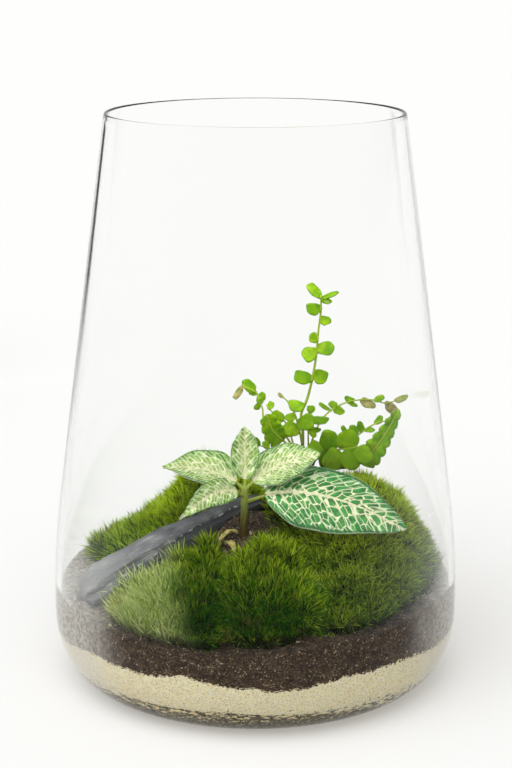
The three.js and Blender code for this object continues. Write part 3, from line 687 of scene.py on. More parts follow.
def sand_finish(ground):
    """Pale sand with mixed gravel grains, sooty below and strewn with soil above.

    The Bed map holds the share of the layer's height in v."""
    recipe = Recipe("Pale sand")
    place = recipe.spot()
    tone, dome = grit(recipe, place, 0.7)
    fine, fine_dome = grit(recipe, place, 0.38)
    big = recipe.step(recipe.noise(place, 5), 0.5, 0.65)
    colour = recipe.ramp(tone * big + fine * (1 - big), (0.05, ground.sand_dark),
                         (0.28, ground.sand_mid), (0.6, ground.sand_light),
                         (0.95, ground.sand_pale))
    damp = recipe.step(recipe.noise(place, 14), 0.52, 0.75)
    soot = recipe.noise(recipe.spot(stretch=(1, 1, 3)), 4, 5, 0.75)
    stained = recipe.step(soot + recipe.step(recipe.part(place, 2), 10, 21, 0.22, 0), 0.68, 0.73)
    stray = recipe.uv("Bed", 1) + grit(recipe, place, 1.0)[0] * 0.11
    colour = recipe.coats(colour, (damp * 0.3, ground.sand_mid),
                          (stained * 0.85, ground.charcoal_dark),
                          (recipe.step(stray, 1.055, 1.06), ground.soil_mid))
    # The colour carries the painted reflection of the glass at the jar's sides.
    return recipe.surface(Base_Color=painted_glare(recipe, colour, ground), Roughness=0.85,
                          Normal=recipe.bump(dome * big + fine_dome * 0.5, 0.22))


def soil_finish(ground):
    """Dark soil with light crumbs and fibres, and stray sand at its foot."""
    recipe = Recipe("Dark soil")
    place = recipe.spot()
    tone, dome = grit(recipe, place, 1.6)
    fine, fine_dome = grit(recipe, place, 0.6)
    clod = recipe.noise(place, 5, 5)
    colour = recipe.ramp(fine * 0.5 + clod * 0.5, (0.25, ground.soil_dark), (0.55, ground.soil_mid),
                         (0.8, ground.soil_light))
    fleck = 0.6 * recipe.step(fine, 0.93, 0.97) * recipe.step(recipe.noise(place, 3), 0.4, 0.6)
    stray = recipe.uv("Bed", 1) - grit(recipe, place, 0.9)[0] * 0.11
    colour = recipe.coats(colour, (fleck, ground.fleck),
                          (recipe.step(stray, -0.06, -0.055, 1, 0), ground.sand_mid))
    # The colour carries the painted reflection of the glass at the jar's sides.
    return recipe.surface(Base_Color=painted_glare(recipe, colour, ground), Roughness=0.9,
                          Normal=recipe.bump(dome + tone * 0.4 + fine_dome * 0.5, 0.8))


def crumb_finish(ground):
    """Loose crumbs, from dark bark to pale grit."""
    recipe = Recipe("Loose crumbs")
    place = recipe.spot()
    tone, _ = grit(recipe, place, 2.2)
    colour = recipe.ramp(tone, (0.35, ground.soil_mid), (0.7, ground.soil_light),
                         (0.93, ground.fleck))
    # The colour carries the painted reflection of the glass at the jar's sides.
    return recipe.surface(Base_Color=painted_glare(recipe, colour, ground), Roughness=0.9,
                          Normal=recipe.bump(recipe.noise(place, 0.8), 0.3))


def slate_finish(slate):
    """Grey slate in thin layers, with a pale line along its edge, a paler low end, a darker upper end
    and painted shade on its lower side.

    The Facet map holds the height over the stone's middle line in v."""
    recipe = Recipe("Grey slate")
    place = recipe.spot()
    a, b, c = (recipe.dot(place, way) for way in slate_frame())
    streak = recipe.noise(recipe.vector(a * 0.012, b, c), 0.55, 2, 0.5)
    layer = recipe.noise(recipe.vector(a * 0.025, b * 0.6, c * 1.5), 1.3, 3)
    cloud = recipe.noise(place, 14, 3)
    along = recipe.part(place, 0) + cloud * 14
    edge = (recipe.uv("Facet", 1) - 0.5) * FACET_SPAN + cloud * 2
    # A pale, broken line along the edge over the lower side.
    edge_line = recipe.step(abs(edge - 5.4), 0.1, 0.5, 1, 0)
    edge_line = edge_line * recipe.step(recipe.noise(recipe.vector(a, 0, 0), 5, 3), 0.48, 0.6)
    colour = recipe.ramp(streak * 0.35 + cloud * 0.65, (0.3, slate.dark), (0.54, slate.mid),
                         (0.78, slate.pale))
    colour = recipe.coats(colour, (recipe.step(streak, 0.66, 0.74) * 0.3, slate.pale),
                          # Painted shade on the stone's lower side.
                          (recipe.step(edge, 4.8, 6.6, 0.75, 0), slate.dark),
                          # Darker towards the upper end.
                          (recipe.step(along, -50, -4, 0, 0.65), slate.dark),
                          (edge_line * 0.6, slate.pale),
                          # Paler towards the low end.
                          (recipe.step(along, -80, -46, 0.42, 0), slate.pale))
    return recipe.surface(Base_Color=colour, Roughness=recipe.step(cloud, 0.3, 0.7, 0.5, 0.7),
                          Specular_IOR_Level=0.2, Normal=recipe.bump(layer + streak * 0.4, 0.4))


def moss_finish(moss):
    """Moss with painted shade at the roots and low in the middle, bright tips, painted highlights on
    the higher moss and on some tips, and patches.

    The Reach map holds the blade's tone in u and the share of its length in v."""
    recipe = Recipe("Moss blades")
    place = recipe.spot()
    blade, reach = recipe.uv("Reach", 0), recipe.uv("Reach", 1)
    patch = recipe.noise(place, 22, 3)
    clump = recipe.noise(place, 6, 3)
    x, y, z = (recipe.part(place, axis) for axis in range(3))
    wobble = (recipe.noise(place, 12) - 0.5) * 26
    # Painted shade: deep green low in the middle, under the nerve plant.
    shady = recipe.step(abs(x + 9 + wobble * 0.6), 20, 40, 1, 0) * recipe.step(z, 62, 90, 1, 0)
    shady = shady * recipe.step(z, 49, 60, 0.3, 1)
    dry = recipe.step(x + wobble, 18, 52) * recipe.step(y, 20, 45, 1, 0)
    # Painted highlight: lime on the higher moss and towards the back.
    crest_highlight = recipe.step(z + wobble * 0.5, 66, 92) + recipe.step(y + wobble, 0, 25) * 0.5
    left = recipe.step(x + wobble * 0.5 + (z - 58) * 0.35, -48, -28, 1, 0)
    left = left * recipe.step(y, -20, 0, 1, 0)
    dull = recipe.blend(recipe.step(blade, -0.1, 0.4), moss.olive, moss.pale)
    # Painted highlight: pale olive on the upper parts of the lighter blades.
    tip_highlight = recipe.step(reach, 0.55, 1) * recipe.step(blade, 0.55, 0.9)
    worn = recipe.step(recipe.noise(place, 15, 2), 0.6, 0.72)
    tips = recipe.ramp((clump * 0.6 + patch * 0.4 + (blade - 0.35) * 0.8).clamped(),
                       (0.32, moss.deep), (0.5, moss.bright), (0.68, moss.lime))
    tips = recipe.coats(tips, (shady * 0.8, moss.deep),
                        (dry * (0.35 + blade * 0.4), moss.olive),
                        (crest_highlight.clamped() * (0.3 + blade * 0.9).clamped(), moss.lime),
                        (left * recipe.step(patch, 0.3, 0.6, 1, 0.8), dull),
                        (tip_highlight * (0.45 + left * 0.4) * (1 - shady * 0.7), moss.pale),
                        (worn * 0.6, moss.brown))
    # Painted shade: the root colour towards the blades' roots, lifted on the left and on the higher
    # moss.
    lit = reach + left * 0.22 + crest_highlight.clamped() * 0.05
    colour = recipe.coats(moss.root, (left * 0.15, moss.pale), (recipe.step(lit, 0.33, 0.98), tips))
    return recipe.surface(Base_Color=colour, Roughness=0.8, Specular_IOR_Level=0.05)


def moss_bed_finish(moss):
    """The shaded heart of a cushion, between its blades."""
    recipe = Recipe("Moss heart")
    place = recipe.spot()
    colour = recipe.ramp(recipe.noise(place, 4, 4), (0.35, moss.root), (0.65, moss.shade))
    return recipe.surface(Base_Color=colour, Roughness=0.9,
                          Normal=recipe.bump(recipe.noise(place, 1.2, 3), 1.5))


def nerve_finish(name, plant, greens, spacing, rows, cell, net, pale_heart, midrib, rim, lean):
    """A leaf with a pale net of veins between darker cells.

    The Blade map holds the place across and along the leaf in millimetres, and the Margin map
    the place towards the edge and the tip as shares."""
    recipe = Recipe(name)
    across = (recipe.uv("Blade", 0) - 0.5) * BLADE_SPAN
    along = recipe.uv("Blade", 1) * BLADE_SPAN
    edge = abs(recipe.uv("Margin", 0) * 2 - 1)
    tip = recipe.uv("Margin", 1)
    place = recipe.vector(across, along)
    sway = recipe.noise(place, spacing * 2, 2) - 0.5
    drift = recipe.noise(recipe.vector(along, across, 7.0), cell, 2) - 0.5
    out = abs(across)
    side = across.math("SIGN", across)

    # Side veins, a net of cells between them, a fine net in the pale heart, and the rib
    bow = along - out * lean - out * out * 0.014 + sway * spacing * 0.9 + side * spacing * 0.22
    course = bow / spacing
    gap = (0.5 - abs(course.math("FRACT", course + 20) - 0.5)) * spacing
    lateral = recipe.step(gap / (midrib * 0.5) + edge * 0.35, 0.45, 1.35, 1, 0)
    row = (out * 0.8 + along * 0.6 + drift * cell) / cell
    web = cell * recipe.cells(recipe.vector(row, course * rows, side * 9), 1.0, "DISTANCE_TO_EDGE",
                              jitter=0.55)
    fine = recipe.cells(recipe.vector(across + drift * 2, along + sway * 2, 3.0), cell * 0.6,
                        "DISTANCE_TO_EDGE")
    heart = recipe.step(edge + tip * 0.2, 0.0, 0.95, 1, 0) * pale_heart
    wide = net * (1 + heart * 0.8) * recipe.step(edge, 0.3, 0.95, 1.15, 0.7)
    veins = lateral.math("MAXIMUM", lateral, recipe.step(web / wide, 0.5, 1.5, 1, 0))
    veins = veins * recipe.step(edge, 0.9, 0.985, 1, 0)
    rib = recipe.step(out / (midrib * (1.15 - tip * 0.85)), 0.6, 1.3, 1, 0)

    middle = recipe.step(web, 0.1 * cell, 0.3 * cell)
    colour = recipe.ramp(recipe.noise(place, 5, 2), (0.35, greens[0]), (0.65, greens[1]))
    colour = recipe.coats(
        colour,
        ((1 - middle) * (0.12 + 0.3 * pale_heart), plant.cell_pale),
        (heart * 0.7, plant.cell_pale),
        (recipe.step(fine, 0.03, 0.12, 1, 0) * heart * 0.55, plant.vein),
        (veins, recipe.blend(recipe.step(edge, 0.1, 0.8), plant.vein, plant.vein_green)),
        (rib, plant.rib),
        (recipe.step(edge, 1 - rim * 1.6, 1 - rim * 0.6) * 0.8, plant.cell_dark),
        (recipe.step(edge, 0.975, 0.99) * 0.6, plant.vein_green))
    dome = recipe.step(web, 0, 1.2) + recipe.step(gap, 0, 2.2) + recipe.step(out, 0, 3) * 0.8
    return recipe.surface(Base_Color=colour, Roughness=recipe.step(veins, 0, 1, 0.45, 0.58),
                          Specular_IOR_Level=0.3, Normal=recipe.bump(dome, 0.6))


def stalk_finish(name, low, high, low_z, high_z):
    """A fleshy stalk that changes colour with height, with faint streaks."""
    recipe = Recipe(name)
    streak = recipe.noise(recipe.spot(stretch=(1, 1, 0.15)), 0.8, 3)
    share = recipe.step(recipe.part(recipe.spot(), 2) + (streak - 0.5) * 16, low_z, high_z)
    colour = recipe.coats(low, (share, high), (recipe.step(streak, 0.55, 0.75) * 0.3, STREAK))
    return recipe.surface(Base_Color=colour, Roughness=0.5, Specular_IOR_Level=0.2,
                          Normal=recipe.bump(streak, 0.15))


def fern_finish(fern):
    """Thin lime leaflets that brown with age, with painted shade on the lower ones.

    The Age map holds the age in u and the place towards the leaflet's edge in v."""
    recipe = Recipe("Fern leaflets")
    place = recipe.spot()
    age, depth = recipe.uv("Age", 0), recipe.uv("Age", 1)
    cloud = recipe.noise(place, 5, 3)
    tone = recipe.noise(place, 17, 2)
    vein = recipe.step(recipe.cells(place, 2.4, "DISTANCE_TO_EDGE"), 0.02, 0.09, 1, 0)
    x, z = (recipe.part(place, axis) for axis in (0, 2))
    # Painted shade, olive like older leaflets: lower leaflets darker, least on the right.
    shaded = recipe.step(z + tone * 20, 114, 142, 1, 0) * recipe.step(x, 34, 66, 1, 0.2)
    mottle = recipe.step(cloud + age - 0.5, 0.42, 0.68) * recipe.step(age, 0.05, 0.5)
    old = recipe.ramp(recipe.noise(place, 2.5, 3), (0.35, fern.aged), (0.65, fern.aged_pale))
    colour = recipe.ramp(tone * 0.55 + cloud * 0.45, (0.36, fern.deep), (0.5, fern.leaf),
                         (0.66, fern.light))
    colour = recipe.coats(colour, (vein * 0.22, fern.light),
                          (shaded * recipe.step(cloud, 0.35, 0.6, 0.45, 0.95), fern.shade),
                          (mottle, old), (recipe.step(depth, 0.86, 1) * 0.35, fern.deep))
    return recipe.surface(Base_Color=colour, Roughness=0.5, Specular_IOR_Level=0.15,
                          Normal=recipe.bump(vein * -0.6 + cloud, 0.25))


def crown_finish(fern):
    """Scaly brown crown with orange specks."""
    recipe = Recipe("Fern crown")
    tone, dome = grit(recipe, recipe.spot(), 1.8)
    colour = recipe.ramp(tone, (0.2, fern.crown_dark), (0.7, fern.crown), (0.95, fern.aged))
    return recipe.surface(Base_Color=colour, Roughness=0.8, Normal=recipe.bump(dome, 0.8))


def dry_finish(dry):
    """Papery dry leaf with ribs and tears of tone."""
    recipe = Recipe("Dry leaf")
    place = recipe.spot()
    cloud = recipe.noise(place, 2.2, 4)
    rib = recipe.noise(recipe.spot(stretch=(1, 0.2, 1)), 0.7, 3)
    colour = recipe.ramp(cloud * 0.6 + rib * 0.4, (0.35, dry.dark), (0.52, dry.mid), (0.66, dry.light))
    return recipe.surface(Base_Color=colour, Roughness=0.75, Normal=recipe.bump(rib + cloud, 0.4))


def floor_finish(stage):
    """Matt white sweep."""
    recipe = Recipe("White sweep")
    fleck = recipe.noise(recipe.spot(1.0), 0.9, 2)
    colour = recipe.blend(fleck * 0.05, tuple(stage.floor), (0.34, 0.34, 0.33))
    return recipe.surface(Base_Color=colour, Roughness=0.9, Specular_IOR_Level=0.0,
                          Emission_Color=tuple(stage.glow), Emission_Strength=1.0)


# Settings

def colour_setting(name, default, description):
    """A colour property."""
    return FloatVectorProperty(name=name, description=description, subtype="COLOR", size=3,
                               min=0, max=1, default=default)


class JarSettings(bpy.types.PropertyGroup):
    """Sizes and tint of the jar."""

    segments: IntProperty(name="Segments", description="Sides of the jar's turned shape",
                          default=192, min=24, max=512)
    lip_steps: IntProperty(name="Lip steps", description="Steps round the lip", default=8, min=3)
    tint: colour_setting("Glass tint", (0.982, 0.988, 0.982), "Colour that the glass passes")


class GroundSettings(bpy.types.PropertyGroup):
    """Colours and relief of the ground layers."""

    relief: FloatProperty(name="Relief", description="Height of the soil's clods in millimetres",
                          default=0.9, min=0, max=4)
    crumbs: IntProperty(name="Crumbs", description="Loose crumbs on the soil", default=1500, min=0)
    charcoal_dark: colour_setting("Charcoal", (0.0158, 0.0172, 0.0119), "Darkest charcoal grains")
    charcoal_light: colour_setting("Charcoal dust", (0.19, 0.158, 0.08), "Dusty charcoal grains")
    sand_dark: colour_setting("Dark grains", (0.58, 0.46, 0.25), "Darkest sand grains")
    sand_mid: colour_setting("Tan grains", (0.93, 0.79, 0.46), "Tan sand grains")
    sand_light: colour_setting("Sand", (0.99, 0.93, 0.62), "Most of the sand")
    sand_pale: colour_setting("Pale grains", (0.98, 0.96, 0.84), "Palest sand grains")
    soil_dark: colour_setting("Dark soil", (0.0158, 0.0092, 0.0053), "Darkest soil")
    soil_mid: colour_setting("Soil", (0.0686, 0.0422, 0.0238), "Most of the soil")
    soil_light: colour_setting("Light soil", (0.198, 0.132, 0.0726), "Lightest soil")
    # Painted reflection: the glass's pale glare at the jar's two sides, painted on the ground layers.
    reflection: colour_setting("Reflection", (0.84, 0.8, 0.73), "Pale film on the glass at the two sides")
    fleck: colour_setting("Flecks", (0.792, 0.66, 0.4488), "Light crumbs in soil and charcoal")


class SlateSettings(bpy.types.PropertyGroup):
    """Colours of the slate."""

    # Dark is also the painted shade on the slate's lower side.
    dark: colour_setting("Dark", (0.0396, 0.0422, 0.0488), "Darkest slate")
    mid: colour_setting("Grey", (0.2, 0.205, 0.217), "Most of the slate")
    # Pale: the slate's streaks, the line along its edge and its low end.
    pale: colour_setting("Scratches", (0.68, 0.68, 0.68), "Scratches and worn edges")


class MossSettings(bpy.types.PropertyGroup):
    """Blades and colours of the moss."""

    length: FloatProperty(name="Blade length", description="Length of a moss blade in millimetres",
                          default=10.5, min=1, max=30)
    width: FloatProperty(name="Blade width", description="Width of a moss blade in millimetres",
                         default=0.68, min=0.1, max=3)
    blades: IntProperty(name="Blades", description="Blades in one tuft", default=10, min=1, max=20)
    depth: FloatProperty(name="Depth", description="How far the heart lies inside in millimetres",
                         default=4.5, min=0, max=15)
    spacing: FloatProperty(name="Ground for a tuft", description="Square millimetres for each tuft",
                           default=2.2, min=0.5, max=50)
    clump: IntProperty(name="Tufts in a clump", description="Tufts that fan out of one clump",
                       default=6, min=1, max=20)
    spread: FloatProperty(name="Clump radius", description="Radius of a clump in millimetres",
                          default=3.2, min=0.5, max=20)
    root: colour_setting("Roots", (0.014, 0.026, 0.003), "Shaded moss near the roots")
    shade: colour_setting("Heart", (0.05, 0.085, 0.008), "Lightest parts between the blades")
    # Deep green is also the painted shade low in the middle of the moss.
    deep: colour_setting("Deep green", (0.008, 0.115, 0.001), "Deep green blades")
    bright: colour_setting("Green", (0.2, 0.52, 0.005), "Most of the tips")
    # Lime is also the painted highlight on the higher moss.
    lime: colour_setting("Lime", (0.78, 1.0, 0.02), "Brightest tips")
    # Pale olive is also the painted highlight on some blade tips.
    pale: colour_setting("Pale olive", (0.93, 1.0, 0.5), "Pale moss by the slate's low end")
    brown: colour_setting("Brown", (0.264, 0.198, 0.0462), "Worn brown patches")
    olive: colour_setting("Olive", (0.42, 0.58, 0.05), "Drier moss on the right")


class NervePlantSettings(bpy.types.PropertyGroup):
    """Leaf thickness and colours of the nerve plant."""

    thickness: FloatProperty(name="Leaf thickness", description="Thickness in millimetres",
                             default=0.8, min=0.2, max=3)
    cell_dark: colour_setting("Dark cells", (0.012, 0.17, 0.035), "Darkest green between veins")
    cell_light: colour_setting("Cells", (0.06, 0.42, 0.08), "Green between veins")
    young_dark: colour_setting("Young dark cells", (0.045, 0.26, 0.025), "Darkest green, small leaf")
    young_light: colour_setting("Young cells", (0.3, 0.56, 0.055), "Green between veins, small leaf")
    cell_pale: colour_setting("Pale cells", (0.58, 0.8, 0.18), "Pale green between dense veins")
    vein: colour_setting("Inner veins", (0.96, 0.98, 0.64), "Veins near the rib")
    vein_green: colour_setting("Outer veins", (0.86, 0.97, 0.66), "Veins near the edge")
    rib: colour_setting("Rib", (0.94, 0.92, 0.6), "The leaf's middle rib")
    stem_low: colour_setting("Stem foot", (0.07, 0.045, 0.006), "The stem near the soil")
    stem_high: colour_setting("Stem", (0.34, 0.42, 0.07), "The stem further up and leaf stalks")


class FernSettings(bpy.types.PropertyGroup):
    """Leaflet thickness and colours of the fern."""

    thickness: FloatProperty(name="Leaflet thickness", description="Thickness in millimetres",
                             default=0.7, min=0.2, max=3)
    # Olive: painted shade on the lower leaflets, and the colour of older leaflets near the crown.
    shade: colour_setting("Olive", (0.1, 0.15, 0.003), "Old leaflets near the crown")
    deep: colour_setting("Deep lime", (0.1, 0.3, 0.003), "Darker leaflets")
    leaf: colour_setting("Lime", (0.205, 0.43, 0.004), "Most of the leaflets")
    light: colour_setting("Light lime", (0.39, 0.62, 0.01), "Brightest leaflets")
    aged: colour_setting("Brown", (0.33, 0.26, 0.08), "Browned leaflets")
    aged_pale: colour_setting("Tan", (0.56, 0.56, 0.2), "Dry tan of old leaflets")
    crown_dark: colour_setting("Crown dark", (0.02, 0.012, 0.006), "Darkest scales of the crown")
    crown: colour_setting("Crown", (0.09, 0.05, 0.015), "Most of the crown's scales")
    stalk_low: colour_setting("Stalk foot", (0.09, 0.045, 0.015), "Stalks near the crown")
    stalk_high: colour_setting("Stalk", (0.42, 0.56, 0.05), "Stalks further up")


class DrySettings(bpy.types.PropertyGroup):
    """Colours of the dry scraps."""

    dark: colour_setting("Dark", (0.2, 0.13, 0.04), "Darkest dry leaf")
    mid: colour_setting("Tan", (0.66, 0.56, 0.17), "Most of the dry leaf")
    light: colour_setting("Straw", (0.93, 0.85, 0.45), "Lightest dry leaf")


class StageSettings(bpy.types.PropertyGroup):
    """Floor, light and camera."""

    floor: colour_setting("Floor", (0.385, 0.395, 0.41), "Colour of the sweep")
    glow: colour_setting("Floor glow", (0.358, 0.342, 0.31), "Light that comes through the sweep")
    fill: FloatProperty(name="Fill", description="Brightness of the surround", default=0.66, min=0)
    key: FloatProperty(name="Key", description="Added brightness towards the light", default=4.2,
                       min=0)
    distance: FloatProperty(name="Camera distance", description="Distance in front of the jar",
                            default=0.928, unit="LENGTH")
    height: FloatProperty(name="Camera height", description="Height above the floor",
                          default=0.391, unit="LENGTH")
    pitch: FloatProperty(name="Camera pitch", description="How far the camera looks down",
                         default=0.247, subtype="ANGLE")
    lens: FloatProperty(name="Lens", description="Focal length in millimetres", default=85.0)


SETTINGS = {
    "jar": JarSettings,
    "ground": GroundSettings,
    "slate": SlateSettings,
    "moss": MossSettings,
    "nerve_plant": NervePlantSettings,
    "fern": FernSettings,
    "dry": DrySettings,
    "stage": StageSettings,
}


class TerrariumSettings(bpy.types.PropertyGroup):
    """All the terrarium's settings, one group after another."""

    __annotations__ = {name: PointerProperty(type=group) for name, group in SETTINGS.items()}


# Pieces

class TERRARIUM_OT_jar(bpy.types.Operator):
    """Turn the glass jar"""

    bl_idname = "terrarium.jar"
    bl_label = "Jar"

    def execute(self, context):
        jar = context.scene.terrarium.jar
        lip = RIM_WALL / 2
        outline = [(0, 0)]
        outline += [(FOOT_RADIUS * share, 0) for share in (0.4, 0.8)]
        outline += self.climb(0, outside_radius)
        for i in range(jar.lip_steps + 1):
            turn = math.pi * i / jar.lip_steps
            outline.append((RIM_RADIUS - lip + lip * math.cos(turn),
                            JAR_HEIGHT - lip + lip * math.sin(turn)))
        outline += reversed(self.climb(FLOOR, self.bore))
        outline += [((FOOT_RADIUS - WALL - 1) * share, FLOOR) for share in (0.8, 0.4)]
        outline += [(0, FLOOR)]
        bm = turned(outline, jar.segments, 1e-4)
        give(bm, "jar_glass", clear_glass(jar), "glass", "jar")
        return {"FINISHED"}

    @staticmethod
    def bore(z):
        """Radius of the drawn inside, whose wall thins from the shoulder to the rim."""
        share = (z - SHOULDER_Z) / (JAR_HEIGHT - SHOULDER_Z)
        return inside_radius(z) + (WALL - RIM_WALL) * smooth(share)

    @staticmethod
    def climb(floor, radius_at):
        """The outline from a floor up to the lip, with its last rings close under the lip."""
        corner = 22
        heights = [floor + (BELLY_Z - floor) * (1 - math.cos(math.pi / 2 * i / corner))
                   for i in range(corner + 1)]
        heights += range(BELLY_Z + 4, SHOULDER_Z + 40, 5)
        heights += range(SHOULDER_Z + 45, JAR_HEIGHT - 8, 20)
        heights += [JAR_HEIGHT - under for under in (6, 3, RIM_WALL / 2 + 0.3)]
        return [(radius_at(z), z) for z in heights]


class TERRARIUM_OT_ground(bpy.types.Operator):
    """Fill in the charcoal, sand and soil, and strew the crumbs"""

    bl_idname = "terrarium.ground"
    bl_label = "Ground"

    # Sides and rows of a layer's outer face, and how far it presses into the glass
    STEPS = 320
    WALL_ROWS = 24
    PRESS = 0.1

    def execute(self, context):
        ground = context.scene.terrarium.ground
        self.layer("charcoal_bed", charcoal_finish(ground), "charcoal", "charcoal_layer",
                   lambda angle, out, p: FLOOR + CLEARANCE,
                   self.line(CHARCOAL_LINE, CHARCOAL_MEAN, 1))
        self.layer("sand_bed", sand_finish(ground), "sand", "sand_layer",
                   self.line(CHARCOAL_LINE, CHARCOAL_MEAN, 1, 0.02),
                   self.line(SAND_LINE, SAND_MEAN, 4))

        def mound(angle, out, p):
            clods = speckle((p.x, p.y, 0), 4.5, 9) + 0.5 * speckle((p.x, p.y, 0), 1.9, 5)
            return soil_top(p.x, p.y) + ground.relief * clods * (1 if out < 1 else 0.3)

        self.layer("soil_bed", soil_finish(ground), "soil", "soil_mound",
                   self.line(SAND_LINE, SAND_MEAN, 4, 0.02), mound, 50)
        self.crumbs(ground)
        return {"FINISHED"}

    @staticmethod
    def line(stops, mean, seed, lift=0.0):
        """A layer line's height, with the waver that grains give it."""
        def height(angle, out, p):
            rim = polar(angle, BELLY_RADIUS - 8, 0)
            waver = 0.8 * speckle(rim, 7, seed) + 0.9 * speckle(rim, 2.1, seed + 3)
            return lerp(mean, around(stops, angle) + waver, out ** 8) + lift
        return height

    def layer(self, name, material, slot, node, low, high, rings=9):
        """A turned layer whose lower and upper faces follow the given heights."""
        outs = [1 - (1 - i / rings) ** 1.25 for i in range(rings + 1)]
        outline = [(out, 0) for out in outs]
        outline += [(1, i / self.WALL_ROWS) for i in range(1, self.WALL_ROWS)]
        outline += [(out, 1) for out in reversed(outs)]
        bm = turned(outline, self.STEPS, 1e-5)
        write_map(bm.faces, bm.loops.layers.uv.new("Bed"), lambda vert: (0, vert.co.z))
        for vert in bm.verts:
            out = min(math.hypot(vert.co.x, vert.co.y), 1)
            angle = angle_of(vert.co.x, vert.co.y) if out > 1e-6 else 0
            guess = polar(angle, out * inside_radius(BELLY_Z), 0)
            z = lerp(low(angle, out, guess), high(angle, out, guess), vert.co.z)
            vert.co = polar(angle, out * (inside_radius(z) + self.PRESS), z)
        give(bm, name, material, slot, node)

    def crumbs(self, ground):
        """Loose crumbs on the bare soil."""
        rng = random.Random(4)
        bm = bmesh.new()
        bmesh.ops.create_icosphere(bm, subdivisions=1, radius=1)
        for vert in bm.verts:
            vert.co *= 1 + 0.5 * speckle(vert.co, 0.9, 2)
        crumb = mesh_of(bm, "crumb")
        bm = bmesh.new()
        for _ in range(ground.crumbs):
            out = math.sqrt(rng.random()) * 0.985
            p = polar(rng.uniform(0, 360), out * inside_radius(MOUND_BASE), 0)
            size = 0.35 + 1.1 * rng.random() ** 3
            p.z = soil_top(p.x, p.y) + 0.2 * size
            turn = Matrix.Rotation(rng.uniform(0, 6.3), 4, (rng.random(), rng.random(), 1))
            stretch = Matrix.Diagonal((size * rng.uniform(0.8, 2.4), size, size * 0.6, 1))
            put(bm, crumb, Matrix.Translation(p) @ turn @ stretch)
        give(bm, "soil_crumbs", crumb_finish(ground), "soil", smooth_faces=False)


def put(bm, mesh, matrix):
    """Adds a copy of a small mesh to a bmesh, placed by a matrix."""
    mesh.transform(matrix)
    bm.from_mesh(mesh)
    mesh.transform(matrix.inverted())


class TERRARIUM_OT_slate(bpy.types.Operator):
    """Split and lay the slate"""

    bl_idname = "terrarium.slate"
    bl_label = "Slate"

    def execute(self, context):
        bm = bmesh.new()
        chip = draws(7)
        ring = []
        for place, scale in SLATE_SCALES:
            point, along = bezier(SLATE_LINE, place)
            across = along.cross(Vector((0, 0, 1))).normalized()
            up = across.cross(along)
            ring = next_ring(bm, ring, len(SLATE_SECTION))
            for vert, (a, b) in zip(ring, SLATE_SECTION):
                size = scale * (0.92 + 0.16 * next(chip))
                vert.co = point + along * (next(chip) - 0.5) * 3 + across * a * size + up * b * size
        bmesh.ops.contextual_create(bm, geom=ring_edges(bm, ring))
        bmesh.ops.recalc_face_normals(bm, faces=bm.faces)
        bmesh.ops.triangulate(bm, faces=[f for f in bm.faces if len(f.verts) > 4])
        bmesh.ops.subdivide_edges(bm, edges=bm.edges, cuts=5, use_grid_fill=True, smooth=0.12)
        bmesh.ops.subdivide_edges(bm, edges=bm.edges, cuts=1, use_grid_fill=True)
        axis, across, up = slate_frame()
        bm.normal_update()
        for vert in bm.verts:
            a, b, c = vert.co.dot(axis), vert.co.dot(across), vert.co.dot(up)
            sheet = speckle((a * 0.03, b * 0.5, c), 1.6, 3)
            chips = speckle((a * 0.25, b, c), 6, 8)
            vert.co += vert.normal * (0.6 * round(sheet * 2.2) / 2.2 + 0.8 * chips)
        start = Vector(SLATE_LINE[0]).dot(axis)
        length = Vector(SLATE_LINE[2]).dot(axis) - start

        def facet(vert):
            share = clamp((vert.co.dot(axis) - start) / length)
            height = (vert.co - bezier(SLATE_LINE, share)[0]).dot(up)
            return share, 0.5 + height / FACET_SPAN

        write_map(bm.faces, bm.loops.layers.uv.new("Facet"), facet)
        bmesh.ops.recalc_face_normals(bm, faces=bm.faces)
        give(bm, "slate_splinter", slate_finish(context.scene.terrarium.slate), "slate",
             "slate_stone")
        return {"FINISHED"}


